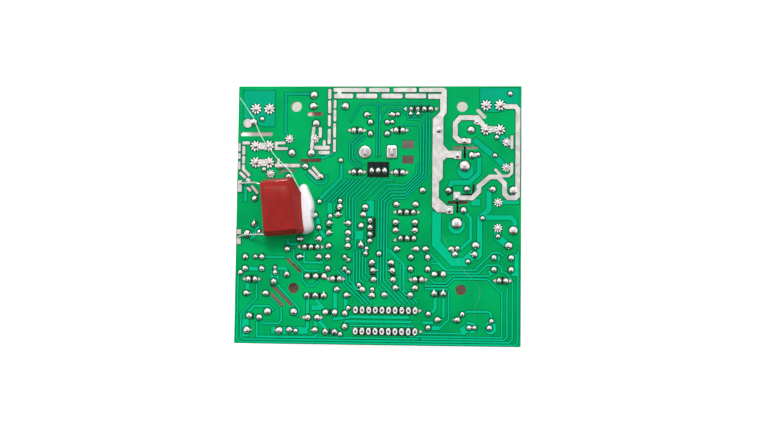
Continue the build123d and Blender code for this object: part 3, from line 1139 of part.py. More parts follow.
def transistors():
    """Small transistors with one flat side."""
    shapes = []
    for pins in TRANSISTOR_PINS:
        section = Rectangle(2 * TRANSISTOR_RADIUS, 1.2) + RegularPolygon(TRANSISTOR_RADIUS, 10)
        section -= Pos(0, -2.6) * Rectangle(10, 3.0)
        body = Pos(0, 0, TRANSISTOR_LIFT) * extrude(section, amount=TRANSISTOR_HEIGHT)
        for n, (x, _) in enumerate(pins):
            foot = x - pins[1][0]
            body += leg((1.27 * (n - 1), 0, TRANSISTOR_LIFT + 0.3), (foot, 0, 0.0), wire=0.45)
        shapes.append(hang(body, pins[1]))
    return group(shapes)


def buzzer():
    """A round sounder with its sound hole."""
    rim = BUZZER_RADIUS - 0.5
    shell = lathe([(BUZZER_RADIUS, 0), (BUZZER_RADIUS, BUZZER_HEIGHT - 0.5), (rim, BUZZER_HEIGHT)], 16)
    shell -= lathe([(BUZZER_HOLE, BUZZER_HEIGHT - 1.5), (BUZZER_HOLE, BUZZER_HEIGHT + 1)], 8)
    return hang(shell, middle(BUZZER_PINS))


# ================================================================ what was added on the solder side
def film_point(x, y):
    """A place beside or on the capacitor, x along its width and y along its length from its centre."""
    return turned(FILM_CENTRE, FILM_ANGLE, [(x, y)])[0]


def film_ring(left, right, front, rear, height, cut_share=1.0):
    """The capacitor's outline at one height, set in on each side, with its corners cut."""
    width, length, _ = FILM_SIZE
    x0, x1 = left - width / 2, width / 2 - right
    y0, y1 = front - length / 2, length / 2 - rear
    front_left, front_right, rear_right, rear_left = [(a * cut_share, b * cut_share) for a, b in FILM_CUTS]
    corners = [
        (x0 + front_left[0], y0), (x1 - front_right[0], y0), (x1, y0 + front_right[1]),
        (x1, y1 - rear_right[1]), (x1 - rear_right[0], y1), (x0 + rear_left[0], y1),
        (x0, y1 - rear_left[1]), (x0, y0 + front_left[1]),
    ]
    return [(*film_point(x, y), TINNED_FACE + FILM_LIFT + height) for x, y in corners]


def film_capacitor():
    """A dipped film capacitor lying on its broad side, with sides that slope to its upper face."""
    thickness = FILM_SIZE[2]
    lower = film_ring(*[FILM_UNDERCUT] * 4, 0.0)
    widest_from = film_ring(0, 0, 0, 0, thickness * 0.3)
    widest_to = film_ring(0, 0, 0, 0, thickness * 0.55)
    upper = film_ring(*FILM_SLOPES, thickness, FILM_UPPER_CUT)
    return faceted([lower, widest_from, widest_to, upper])


def film_capacitor_leads():
    """Two tinned wires from the capacitor's left side to the pads at the board's edge."""
    width, length, thickness = FILM_SIZE
    exit_height = TINNED_FACE + FILM_LIFT + thickness * 0.35
    rest = TINNED_FACE + LEAD_RADIUS
    joint_top = TINNED_FACE + JOINT_HEIGHT + LEAD_RADIUS
    inside = 1.0 - width / 2
    section = RegularPolygon(LEAD_RADIUS, 6)
    rear_start = film_point(inside, length / 2 - 2.0)
    front_start = film_point(inside, 1.0 - length / 2)
    routes = [
        [(*rear_start, exit_height), (-47.4, 12.0, exit_height), (-51.0, 12.0, rest + 0.6),
         (LEFT + 0.6, 11.9, rest)],
        [(*front_start, exit_height), (-46.0, -8.2, exit_height), (-49.0, -8.0, joint_top + 0.3),
         (LEAD_JOINT[0] - 1.2, LEAD_JOINT[1] - 0.4, joint_top), (LEFT + 0.6, -9.3, rest + 0.2)],
    ]
    body = film_capacitor()
    wires = []
    for route in routes:
        path = Polyline(*route)
        wire = sweep(Plane(path @ 0, z_dir=path % 0) * section, path=path, transition=Transition.RIGHT)
        wires.append(wire - body)
    return group(wires)


def silicone_adhesive():
    """The blob of silicone that holds the capacitor's right side to the board and wraps the near joints."""
    origin = film_point(FILM_SIZE[0] / 2, 0)
    base = TINNED_FACE + 0.02
    rim = [(origin[0] + x, origin[1] + y) for x, y in GLUE_RIM]
    spine = (origin[0] + GLUE_SPINE[0], origin[1] + GLUE_SPINE[1])
    crown = [(x + (spine[0] - x) * GLUE_CROWN, y + (spine[1] - y) * GLUE_CROWN) for x, y in rim]
    levels = [(rim, base), (rim, base + GLUE_HEIGHT * 0.55), (crown, base + GLUE_HEIGHT)]
    blob = faceted([[(x, y, height) for x, y in points] for points, height in levels])
    wrapped = [joint(*place) for place in all_joints()[0] if math.dist(place[:2], spine) < GLUE_REACH]
    return blob - film_capacitor() - wrapped


def glue_strand():
    """A hardened thread of adhesive that trails from the capacitor to the rear left corner."""
    lie = TINNED_FACE + STRAND_WIDTH / 2
    over = TINNED_FACE + JOINT_HEIGHT + STRAND_WIDTH
    high = TINNED_FACE + GLUE_HEIGHT + 2 * STRAND_WIDTH
    width, length, _ = FILM_SIZE
    cut_x, cut_y = FILM_CUTS[2]
    beside = width / 2 + STRAND_CLEARANCE
    rear_end = film_point(beside - cut_x, length / 2)
    front_end = film_point(beside, length / 2 - cut_y)
    route = [(-54.8, 45.9, lie), (-50.0, 39.0, lie), (-48.6, 37.2, over), (-46.8, 32.4, over),
             (-44.7, 28.4, over),
             (-41.4, 24.2, over), (-39.2, 21.4, over), (-36.4, 18.9, over), (-33.6, 16.3, over + 1.0),
             (*rear_end, high - 1.0), (*front_end, high)]
    path = Polyline(*route)
    section = Plane(path @ 0, z_dir=path % 0) * Rectangle(STRAND_WIDTH, STRAND_WIDTH)
    return sweep(section, path=path, transition=Transition.RIGHT)


# ================================================================ writing
def write(name, shape):
    """Writes one node."""
    export_step(shape, f"parts/{name}.step")


def main():
    rounds, stars, points = all_joints()
    write("circuit_board", circuit_board())
    write("copper_tracks", copper_tracks())
    write("tinned_tracks", tinned_tracks())
    write("silkscreen_marks", silkscreen_marks())
    write("solder_joints", group([joint(*place) for place in rounds] + lug_joints()))
    write("star_joints", group([joint(x, y, radius, sides=STAR_SIDES, lobe=STAR_LOBE)
                                for x, y, radius, _, _ in stars]))
    write("test_points", group([joint(x, y, radius, height=0.7) for x, y, radius, _, _ in points]))

    write("film_capacitor", film_capacitor())
    write("film_capacitor_leads", film_capacitor_leads())
    write("silicone_adhesive", silicone_adhesive())
    write("glue_strand", glue_strand())

    write("resistors", resistors())
    write("diodes", diodes())
    write("jumper_wires", jumper_wires())
    write("power_resistors", power_resistors())
    write("disc_capacitors", disc_capacitors())
    for number, (x, y, pitch, angle, radius, height) in enumerate(CANS, start=1):
        write(f"electrolytic_capacitor_{number}", hang(electrolytic_can(radius, height), (x, y), angle))
    write("leds", leds())
    write("led_spacers", led_spacers())
    for number, place in enumerate(SWITCH_PLACES, start=1):
        write(f"switch_base_{number}", switch_base(place))
        write(f"switch_plunger_{number}", switch_plunger(place))
    write("switch_covers", switch_covers())
    write("switch_domes", switch_domes())
    write("potentiometer_housing", potentiometer_housing())
    write("potentiometer_shaft", potentiometer_shaft())

    for number, place in enumerate(TAB_PLACES, start=1):
        write(f"tab_terminal_{number}", tab_terminal(place))
    write("relay", relay())
    write("varistor", varistor())
    write("box_film_capacitor", standing_box(BOX_FILM_PINS, BOX_FILM_BODY))
    write("mains_film_capacitor", standing_box(X_CAPACITOR_PINS, X_CAPACITOR_BODY))
    for name, pins in zip(("choke_rear", "choke_front"), CHOKE_PINS):
        write(name, choke(pins))
    for name, triac in zip(("rear", "front"), TRIACS):
        write(f"heatsink_{name}", heatsink(triac))
        write(f"triac_{name}", triac_body(triac))
    write("heatsink_screws", heatsink_screws())
    write("controller_chip", controller_chip())
    write("wafer_socket_rear", wafer_socket(SOCKET_REAR, SOCKET_WIDTH))
    write("wafer_socket_middle", wafer_socket(SOCKET_MIDDLE, NARROW_SOCKET_WIDTH))
    write("transistors", transistors())
    write("buzzer", buzzer())


main()
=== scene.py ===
import math
import random

import bmesh
import bpy
from mathutils import Euler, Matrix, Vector


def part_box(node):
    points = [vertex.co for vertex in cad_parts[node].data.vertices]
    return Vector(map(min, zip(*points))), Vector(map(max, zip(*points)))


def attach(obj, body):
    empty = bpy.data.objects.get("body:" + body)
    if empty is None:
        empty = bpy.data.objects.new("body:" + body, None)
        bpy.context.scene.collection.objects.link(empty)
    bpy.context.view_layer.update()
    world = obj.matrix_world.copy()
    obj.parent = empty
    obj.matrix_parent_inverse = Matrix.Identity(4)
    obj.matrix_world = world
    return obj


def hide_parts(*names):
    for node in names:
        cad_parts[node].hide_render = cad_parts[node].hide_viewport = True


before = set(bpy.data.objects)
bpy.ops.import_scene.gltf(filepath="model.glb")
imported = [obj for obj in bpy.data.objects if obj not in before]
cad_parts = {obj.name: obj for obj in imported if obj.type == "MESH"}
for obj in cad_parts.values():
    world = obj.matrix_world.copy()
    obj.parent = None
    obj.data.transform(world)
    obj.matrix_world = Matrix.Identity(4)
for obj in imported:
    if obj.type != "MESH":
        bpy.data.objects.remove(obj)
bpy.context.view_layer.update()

MM = 0.001
BOARD_LOW, BOARD_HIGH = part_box("circuit_board")
BOARD_TOP = BOARD_HIGH[2]
COPPER_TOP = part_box("copper_tracks")[1][2]
CENTRE = (Vector(BOARD_LOW) + Vector(BOARD_HIGH)) / 2

# Corners this near are one corner, and heights this near are one level.
SAME_PLACE = 1e-7
SAME_LEVEL = 1e-5


# ------------------------------------------------------------ materials
def shader(name, colour, roughness, metallic=0.0, coat=0.0, gloss=0.5):
    """A new material with a principled shader: the material, its nodes, its links and the shader."""
    material = bpy.data.materials.new(name)
    material.use_nodes = True
    nodes, links = material.node_tree.nodes, material.node_tree.links
    principled = nodes["Principled BSDF"]
    principled.inputs["Base Color"].default_value = (*colour, 1.0)
    principled.inputs["Roughness"].default_value = roughness
    principled.inputs["Metallic"].default_value = metallic
    principled.inputs["Coat Weight"].default_value = coat
    principled.inputs["Specular IOR Level"].default_value = gloss
    return material, nodes, links, principled


def noise(nodes, links, scale, detail=3.0, stretch=(1.0, 1.0, 1.0)):
    """Noise over the object's own coordinates, with about this many waves to a metre."""
    place = nodes.new("ShaderNodeTexCoord")
    mapping = nodes.new("ShaderNodeMapping")
    mapping.inputs["Scale"].default_value = stretch
    texture = nodes.new("ShaderNodeTexNoise")
    texture.inputs["Scale"].default_value = scale
    texture.inputs["Detail"].default_value = detail
    links.new(place.outputs["Object"], mapping.inputs["Vector"])
    links.new(mapping.outputs["Vector"], texture.inputs["Vector"])
    return texture.outputs["Fac"]


def axes(nodes, links, vector):
    """The X, Y and Z outputs of a vector."""
    split = nodes.new("ShaderNodeSeparateXYZ")
    links.new(vector, split.inputs["Vector"])
    return split.outputs


def place_axes(nodes, links):
    """The X, Y and Z of the place on the object, in metres."""
    return axes(nodes, links, nodes.new("ShaderNodeTexCoord").outputs["Object"])


def sums(nodes, links, operation, *values):
    """One arithmetic step on up to three values, each a number or a socket."""
    step = nodes.new("ShaderNodeMath")
    step.operation = operation
    for socket, value in zip(step.inputs, values):
        if isinstance(value, (int, float)):
            socket.default_value = value
        else:
            links.new(value, socket)
    return step.outputs["Value"]


def ranged(nodes, links, value, start, end, low=0.0, high=1.0):
    """Runs from low to high while the value runs from start to end, and stays there outside them."""
    limits = nodes.new("ShaderNodeMapRange")
    for name, number in (("From Min", start), ("From Max", end), ("To Min", low), ("To Max", high)):
        limits.inputs[name].default_value = number
    links.new(value, limits.inputs["Value"])
    return limits.outputs["Result"]


def blend(nodes, links, factor, low, high):
    """A mix of two colours, each a triple or a socket."""
    mix = nodes.new("ShaderNodeMix")
    mix.data_type = "RGBA"
    links.new(factor, mix.inputs["Factor"])
    for name, colour in (("A", low), ("B", high)):
        if isinstance(colour, tuple):
            mix.inputs[name].default_value = (*colour, 1.0)
        else:
            links.new(colour, mix.inputs[name])
    return mix.outputs["Result"]


def mottle(nodes, links, principled, factor, dark, light, low=0.35, high=0.65):
    """Base colour that runs from dark to light with the factor."""
    ramp = nodes.new("ShaderNodeValToRGB")
    ramp.color_ramp.elements[0].position = low
    ramp.color_ramp.elements[1].position = high
    ramp.color_ramp.elements[0].color = (*dark, 1.0)
    ramp.color_ramp.elements[1].color = (*light, 1.0)
    links.new(factor, ramp.inputs["Fac"])
    links.new(ramp.outputs["Color"], principled.inputs["Base Color"])


def dent(nodes, links, principled, factor, height):
    """Surface relief that follows the factor and is at most this high, in metres."""
    bump = nodes.new("ShaderNodeBump")
    bump.inputs["Distance"].default_value = height
    bump.inputs["Strength"].default_value = 1.0
    links.new(factor, bump.inputs["Height"])
    links.new(bump.outputs["Normal"], principled.inputs["Normal"])


def uneven(name, dark, light, roughness, scale, relief=0.0, metallic=0.0, coat=0.0, gloss=0.5,
           stretch=(1.0, 1.0, 1.0)):
    """A material with mottled colour and a little relief."""
    material, nodes, links, principled = shader(name, light, roughness, metallic, coat, gloss)
    mottle(nodes, links, principled, noise(nodes, links, scale, stretch=stretch), dark, light)
    if relief > 0:
        dent(nodes, links, principled, noise(nodes, links, scale * 2.5, stretch=stretch), relief)
    return material


def laminate_mask():
    """Green mask on the solder side of a tan laminate, whose edges and lower face are bare."""
    material, nodes, links, principled = shader("laminate_mask", (0.0, 0.40, 0.10), 0.35, gloss=0.03)
    cloud = ranged(nodes, links, noise(nodes, links, 60), 0.35, 0.65)
    green = blend(nodes, links, cloud, (0.0, 0.32, 0.090), (0.0, 0.44, 0.120))
    grain = ranged(nodes, links, noise(nodes, links, 700, stretch=(1.0, 1.0, 6.0)), 0.35, 0.65)
    bare = blend(nodes, links, grain, (0.34, 0.20, 0.11), (0.50, 0.33, 0.20))
    facing = axes(nodes, links, nodes.new("ShaderNodeNewGeometry").outputs["True Normal"])["Z"]
    upper = sums(nodes, links, "GREATER_THAN", facing, 0.5)
    links.new(blend(nodes, links, upper, bare, green), principled.inputs["Base Color"])
    dent(nodes, links, principled, noise(nodes, links, 150), 4e-6)
    return material


def copper_mask():
    """The same mask where copper shines through it, bluer, with a painted sheen that makes it paler towards
    the front.
    """
    material, nodes, links, principled = shader("copper_mask", (0.0, 0.45, 0.20), 0.3, gloss=0.05)
    # Painted sheen: the copper grows paler towards the front of the board.
    front_sheen = ranged(nodes, links, place_axes(nodes, links)["Y"], BOARD_HIGH[1], BOARD_LOW[1])
    pale = sums(nodes, links, "MULTIPLY_ADD", noise(nodes, links, 45), 0.6, front_sheen)
    mottle(nodes, links, principled, pale, (0.0, 0.36, 0.19), (0.0, 0.54, 0.26), 0.25, 1.0)
    dent(nodes, links, principled, noise(nodes, links, 110), 5e-6)
    return material


def mask_shadow():
    """Painted shade, for the dark line where the mask steps down beside copper and for the dark rings round
    joints.
    """
    return uneven("mask_shadow", (0.0, 0.09, 0.03), (0.0, 0.15, 0.055), 0.4, 400, 3e-6, gloss=0.03)


def solder_tin(name="solder_tin", relief=3.0e-5):
    """Bright solder, slightly rippled."""
    return uneven(name, (0.80, 0.72, 0.73), (0.99, 0.97, 0.97), 0.18, 900, relief, metallic=1.0)


def star_tin():
    """Solder frozen in small drops, frosted all over."""
    return uneven("star_tin", (0.94, 0.94, 0.93), (1.0, 1.0, 1.0), 0.3, 900, 1.2e-5, metallic=0.1)


def dish_tin():
    """The dull hollow inside a ring of solder drops."""
    return uneven("dish_tin", (0.46, 0.33, 0.34), (0.84, 0.74, 0.74), 0.4, 1100, 2.5e-5, metallic=0.5)


def tinned_face():
    """Solder drawn thin over a broad track, greyer than a joint."""
    return uneven("tinned_face", (0.54, 0.53, 0.51), (0.76, 0.75, 0.72), 0.42, 420, 2.0e-5, metallic=0.3)


def tinned_rim():
    """The bright bead round a tinned track."""
    return uneven("tinned_rim", (0.88, 0.90, 0.88), (0.96, 0.98, 0.96), 0.25, 700, 1.2e-5, metallic=0.1)


def painted_joint_shade():
    """Painted shade, nearly black, put in the shaded hollows and on the lower sides of joints."""
    return uneven("painted_joint_shade", (0.02, 0.003, 0.004), (0.10, 0.018, 0.022), 0.35, 1500, 1e-5)


def black_ink():
    """Printed marks, matt and nearly black."""
    return uneven("black_ink", (0.003, 0.006, 0.006), (0.010, 0.018, 0.017), 0.6, 900, 5e-6, gloss=0.15)


def red_epoxy():
    """Dipped coating of the added capacitor, glossiest where its upper face rounds off to the rear."""
    material, nodes, links, principled = shader("red_epoxy", (0.31, 0.010, 0.011), 0.3, gloss=0.04)
    cloud = noise(nodes, links, 120)
    mottle(nodes, links, principled, cloud, (0.27, 0.014, 0.011), (0.35, 0.020, 0.016))
    dent(nodes, links, principled, noise(nodes, links, 300), 1.2e-5)
    facing = axes(nodes, links, nodes.new("ShaderNodeNewGeometry").outputs["Normal"])
    rearward = ranged(nodes, links, facing["Y"], 0.10, 0.25)
    upward = ranged(nodes, links, facing["Z"], 0.70, 0.85)
    edge = sums(nodes, links, "MULTIPLY", rearward, upward)
    links.new(ranged(nodes, links, edge, 0, 1, 0.12, 1.0), principled.inputs["Coat Weight"])
    principled.inputs["Coat Roughness"].default_value = 0.10
    principled.inputs["Coat IOR"].default_value = 1.9
    return material


def white_silicone():
    """Cured silicone with a soft sheen."""
    return uneven("white_silicone", (0.82, 0.82, 0.85), (0.88, 0.88, 0.91), 0.4, 180, 8e-5, coat=0.1)


def glue_thread():
    """Clear glue, tinted by the green under it."""
    return uneven("glue_thread", (0.34, 0.88, 0.60), (0.80, 1.0, 0.90), 0.3, 300, 1e-5)


def moulded(name, dark, light, roughness=0.45):
    """Moulded plastic with a fine spark-eroded grain."""
    return uneven(name, dark, light, roughness, 2500, 6e-6)


def cut_metal(name, dark, light, roughness=0.35):
    """Drawn or rolled metal with fine streaks."""
    return uneven(name, dark, light, roughness, 900, 4e-6, metallic=1.0, stretch=(1.0, 1.0, 0.08))


def component_looks():
    """Materials of the parts on the component side."""
    steel = cut_metal("steel", (0.42, 0.42, 0.42), (0.66, 0.66, 0.65))
    aluminium = cut_metal("aluminium", (0.60, 0.61, 0.62), (0.80, 0.81, 0.82), 0.4)
    winding = cut_metal("winding", (0.38, 0.13, 0.05), (0.58, 0.24, 0.10))
    wire = cut_metal("tinned_wire", (0.55, 0.54, 0.53), (0.82, 0.80, 0.78), 0.3)
    black = moulded("black_moulding", (0.012, 0.012, 0.012), (0.030, 0.030, 0.030))
    white = moulded("white_moulding", (0.68, 0.66, 0.60), (0.82, 0.80, 0.74))
    yellow = moulded("film_box", (0.60, 0.46, 0.10), (0.74, 0.60, 0.18), 0.4)
    looks = {
        "resistors": uneven("resistor_coat", (0.50, 0.38, 0.20), (0.64, 0.50, 0.30), 0.4, 600, 1e-5),
        "power_resistors": uneven("power_coat", (0.16, 0.24, 0.22), (0.24, 0.34, 0.31), 0.6, 900, 2e-5),
        "disc_capacitors": uneven("disc_coat", (0.46, 0.19, 0.05), (0.60, 0.28, 0.09), 0.35, 500, 3e-5),
        "varistor": uneven("varistor_coat", (0.84, 0.64, 0.52), (0.95, 0.76, 0.64), 0.4, 500, 3e-5),
        "leds": uneven("led_lens", (0.50, 0.02, 0.015), (0.66, 0.035, 0.025), 0.12, 200, coat=0.5),
        "electrolytic_capacitor": uneven("can_sleeve", (0.010, 0.014, 0.04), (0.02, 0.028, 0.07),
                                         0.3, 500, 6e-6, coat=0.4),
        "relay": moulded("relay_case", (0.62, 0.36, 0.27), (0.74, 0.46, 0.36), 0.3),
        "potentiometer_housing": moulded("pot_case", (0.03, 0.10, 0.045), (0.05, 0.15, 0.07)),
        "tab_terminal": cut_metal("tinned_brass", (0.60, 0.50, 0.32), (0.80, 0.70, 0.48)),
    }
    for material, names in (
            (black, "diodes transistors buzzer controller_chip triac_rear triac_front switch_base"),
            (white, "led_spacers switch_plunger wafer_socket_rear wafer_socket_middle"),
            (steel, "switch_covers switch_domes heatsink_screws"),
            (aluminium, "potentiometer_shaft heatsink_rear heatsink_front"),
            (yellow, "box_film_capacitor mains_film_capacitor"),
            (winding, "choke_rear choke_front"),
            (wire, "jumper_wires film_capacitor_leads")):
        looks.update({name: material for name in names.split()})
    return looks


def paint_nodes():
    """Gives every node of the frame its material. Returns the materials by the nodes' names."""
    looks = component_looks()
    looks.update({
        "circuit_board": laminate_mask(), "copper_tracks": copper_mask(), "tinned_tracks": tinned_face(),
        "silkscreen_marks": black_ink(), "solder_joints": solder_tin(), "star_joints": star_tin(),
        "test_points": solder_tin("point_tin"), "film_capacitor": red_epoxy(),
        "silicone_adhesive": white_silicone(), "glue_strand": glue_thread(),
    })
    for name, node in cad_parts.items():
        family = name.rstrip("0123456789").rstrip("_")
        node.data.materials.clear()
        node.data.materials.append(looks[name if name in looks else family])
    return looks


# ------------------------------------------------------------ meshes
def add_mesh(name, skin, material, smooth=True):
    """A piece made of a builder's vertices and faces, which rides on the board."""
    mesh = bpy.data.meshes.new(name)
    mesh.from_pydata([tuple(vert) for vert in skin.verts], [], skin.faces)
    mesh.materials.append(material)
    mesh.polygons.foreach_set("use_smooth", [smooth] * len(mesh.polygons))
    piece = bpy.data.objects.new(name, mesh)
    bpy.context.scene.collection.objects.link(piece)
    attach(piece, "board")
    return piece


def joined_copy(node):
    """A working copy of a node's mesh, with its corners joined."""
    work = bmesh.new()
    work.from_mesh(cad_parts[node].data)
    bmesh.ops.remove_doubles(work, verts=work.verts, dist=SAME_PLACE)
    return work


def islands(node):
    """The corners of each separate solid in a node, in metres."""
    work = joined_copy(node)
    seen, groups = set(), []
    for start in work.verts:
        if start.index in seen:
            continue
        seen.add(start.index)
        stack, group = [start], []
        while stack:
            vert = stack.pop()
            group.append(vert.co.copy())
            for edge in vert.link_edges:
                other = edge.other_vert(vert)
                if other.index not in seen:
                    seen.add(other.index)
                    stack.append(other)
        groups.append(group)
    work.free()
    return groups


def middle_of(points):
    """The mean of the points."""
    return sum(points, Vector()) / len(points)


def level_range(points):
    """The lowest and the highest level of the points."""
    levels = [point.z for point in points]
    return min(levels), max(levels)


def ends_of(points):
    """The lowest and the highest points of a solid."""
    low, high = level_range(points)
    foot = [point for point in points if point.z < low + SAME_LEVEL]
    tip = [point for point in points if point.z > high - SAME_LEVEL]
    return foot, tip


def half_widths(points, centre):
    """How far the points reach from the centre, along x and along y."""
    half_x = max(abs(point.x - centre.x) for point in points)
    half_y = max(abs(point.y - centre.y) for point in points)
    return half_x, half_y


def joint_shape(points, round_share=1.0):
    """Foot centre, half widths along x and y, height and the shift of the tip of one solder joint.

    A six-sided foot reaches only round_share of its radius along x."""
    foot, tip = ends_of(points)
    centre = middle_of(foot)
    half_x, half_y = half_widths(foot, centre)
    low, high = level_range(points)
    return centre, half_x / round_share, half_y, high - low, (middle_of(tip) - centre).to_2d()


class Builder:
    """Collects vertices and faces of many small shapes that become one piece."""

    def __init__(self):
        self.verts = []
        self.faces = []

    def rings(self, rings, close_top=True, close_base=False):
        """A skin through rings of equal length, from the lowest to the highest."""
        base = len(self.verts)
        count = len(rings[0])
        for ring in rings:
            self.verts += ring
        for level in range(len(rings) - 1):
            for step in range(count):
                here = base + level * count + step
                beside = base + level * count + (step + 1) % count
                self.faces.append((here, beside, beside + count, here + count))
        if close_top:
            top = base + (len(rings) - 1) * count
            self.faces.append(tuple(range(top, top + count)))
        if close_base:
            self.faces.append(tuple(range(base + count - 1, base - 1, -1)))

    def tube(self, start, end, radius, sides=8):
        """A short round rod with a bevelled end."""
        along = (end - start).normalized()
        across = along.orthogonal().normalized()
        other = along.cross(across)
        self.rings([hoop(start, across, other, radius, sides),
                    hoop(end - along * radius * 0.4, across, other, radius, sides),
                    hoop(end, across, other, radius * 0.55, sides)])


def hoop(hub, across, other, radius, sides):
    """A round ring of points about a hub, in the plane of two directions."""
    ring = []
    for step in range(sides):
        angle = 2 * math.pi * step / sides
        ring.append(hub + (across * math.cos(angle) + other * math.sin(angle)) * radius)
    return ring


def oval(centre, half_x, half_y, height, sides, wobble=None):
    """A level ring of points. wobble maps an angle to a factor on the radius."""
    ring = []
    for step in range(sides):
        angle = 2 * math.pi * step / sides
        reach = wobble(angle) if wobble else 1.0
        ring.append(Vector((centre[0] + half_x * reach * math.cos(angle),
                            centre[1] + half_y * reach * math.sin(angle), height)))
    return ring


def standing_rings(centre, half_x, half_y, base, height, profile, sides, wobble=None):
    """Rings of a round body that stands on its base."""
    return [oval(centre, half_x * share, half_y * share, base + height * rise, sides, wobble)
            for share, rise in profile]


# Profiles from the foot to the tip of a joint: shares of its half width and of its height.
FILLET = [(1.0, 0.0), (0.97, 0.16), (0.88, 0.38), (0.74, 0.60), (0.56, 0.80), (0.36, 0.94), (0.16, 1.0)]
DISHED = [(1.0, 0.0), (0.96, 0.35), (0.87, 0.72), (0.74, 0.96), (0.62, 1.0), (0.52, 0.86), (0.46, 0.55),
          (0.25, 0.40)]
EGG = [(1.0, 0.0), (0.92, 0.42), (0.68, 0.78), (0.32, 1.0)]
BROAD_DISH = [(0.66, 0.12), (0.60, 0.30), (0.46, 0.38), (0.30, 0.36)]
NARROW_DISH = [(0.66, 0.12), (0.54, 0.34), (0.36, 0.52), (0.18, 0.62)]

# A plain joint is a six-sided cone in the solid, with a corner of its foot in front and behind.
CONE_CORNERS = 12
SIX_SIDED = math.cos(math.radians(30))

# Joints start just above the board. The dark ring of painted shade round each lies just above the copper
# and reaches beyond a joint by JOINT_HALO and beyond a test point by POINT_HALO.
FOOT_LEVEL = BOARD_TOP + 0.02 * MM
HALO_LOW = COPPER_TOP + 0.02 * MM
HALO_HIGH = COPPER_TOP + 0.05 * MM
JOINT_HALO = 0.34 * MM
POINT_HALO = 0.32 * MM

# Radii of what stands in the joints.
CLINCHED_LEAD = 0.30 * MM
STANDING_LEAD = 0.28 * MM
CHIP_PIN = 0.26 * MM
TERMINAL_FOOT = 0.55 * MM

# A foot this many times as long as wide is one of the chip's. Joints follow their lead by
# LEAN_SHARE of its lean.
LONG_FOOT = 1.4
LEAN_SHARE = 0.8
JOINT_SIDES = 20

# Joints ringed with beads. One that reaches further than BROAD_STAR holds a terminal's foot. The
# beads' place, length and width and the edges of the dark ring of painted shade are shares of the joint's
# reach.
BROAD_STAR = 2.0 * MM
BEADS = 9
BEAD_HEIGHT = 0.5 * MM
BEAD_PLACE, BEAD_LENGTH, BEAD_WIDTH = 0.74, 0.28, 0.18
STAR_HALO_OUTER, STAR_HALO_INNER = 1.06, 0.6


def bead(centre, along, length, width, height, base, sides=10):
    """Rings of a small half egg of solder, longer in one direction."""
    across = Vector((-along.y, along.x))
    rings = []
    for share, rise in EGG:
        ring = []
        for step in range(sides):
            angle = 2 * math.pi * step / sides
            place = along * math.cos(angle) * length * share + across * math.sin(angle) * width * share
            ring.append(Vector((centre.x + place.x, centre.y + place.y, base + height * rise)))
        rings.append(ring)
    return rings


def halo(centre, half_x, half_y, width, sides, wobble=None):
    """Two rings of the dark band of painted shade round a joint."""
    return [oval(centre, half_x + width, half_y + width, HALO_LOW, sides, wobble),
            oval(centre, half_x * 0.95, half_y * 0.95, HALO_HIGH, sides, wobble)]


def lumpy(lump, phase):
    """A slightly uneven outline, as a function from the angle to a factor on the radius."""
    def reach(angle):
        return 1 + lump * math.sin(2 * angle + phase) + 0.5 * lump * math.sin(5 * angle + 2 * phase)

    return reach


def build_joints(looks):
    """Rounded skins of the solder joints, the ends of their leads, painted dark rings of shade round them
    and dark beads of painted shade on them.
    """
    rng = random.Random(7)
    domes, craters, leads, halos, shade_spots = Builder(), Builder(), Builder(), Builder(), Builder()
    for points in islands("solder_joints"):
        if len(points) != CONE_CORNERS:
            build_lug_joint(points, domes, halos, shade_spots)
            continue
        centre, half_x, half_y, height, lean = joint_shape(points, SIX_SIDED)
        phase = rng.uniform(0, 2 * math.pi)
        wobble = lumpy(rng.uniform(0.01, 0.04), phase)
        top = height * rng.uniform(0.80, 0.95) + COPPER_TOP - FOOT_LEVEL
        # A dark ring of painted shade round the joint.
        halos.rings(halo(centre, half_x, half_y, JOINT_HALO, JOINT_SIDES, wobble), close_top=False)
        side = rng.uniform(-0.3, 0.3)
        if half_y > half_x * LONG_FOOT:
            crater = standing_rings(centre, half_x, half_y, FOOT_LEVEL, top, DISHED, JOINT_SIDES, wobble)
            craters.rings(crater)
            build_chip_pin(centre, half_x, half_y, top, side, leads, shade_spots)
            continue
        drift = lean * LEAN_SHARE
        rings = []
        for share, rise in FILLET:
            middle, level = centre.to_2d() + drift * rise, FOOT_LEVEL + top * rise
            rings.append(oval(middle, half_x * share, half_y * share, level, JOINT_SIDES, wobble))
        domes.rings(rings)
        peak = Vector((centre.x + drift.x, centre.y + drift.y, FOOT_LEVEL + top))
        build_lead(peak, lean, min(half_x, half_y), top, rng, leads)
        # A dark bead of painted shade on the front side of the joint.
        spot = Vector((centre.x + side * half_x * 0.6, centre.y - half_y * rng.uniform(0.42, 0.58)))
        size = min(half_x, half_y) * rng.uniform(0.22, 0.40)
        shade_spots.rings(bead(spot, Vector((1, side)).normalized(), size * 1.3, size, top * 0.75, FOOT_LEVEL))
    dome_piece = add_mesh("joint_domes", domes, looks["solder_joints"])
    add_mesh("chip_joints", craters, looks["star_joints"])
    add_mesh("lead_ends", leads, solder_tin("lead_tin", 8e-6))
    add_mesh("joint_halos", halos, mask_shadow())
    add_mesh("joint_shade_spots", shade_spots, painted_joint_shade())
    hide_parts("solder_joints")


def build_chip_pin(centre, half_x, half_y, top, side, leads, shade_spots):
    """A dark bead of painted shade in the hollow of a joint on a long pad, with the stub of the chip's pin
    in it.
    """
    along = Vector((side * 0.3, 1)).normalized()
    shade_spots.rings(bead(centre.to_2d(), along, half_y * 0.60, half_x * 0.56, top * 0.74, FOOT_LEVEL))
    stub = Vector((centre.x + side * half_x * 0.4, centre.y + half_y * 0.22, FOOT_LEVEL))
    leads.tube(stub, stub + Vector((0, 0, top * 0.88)), CHIP_PIN)


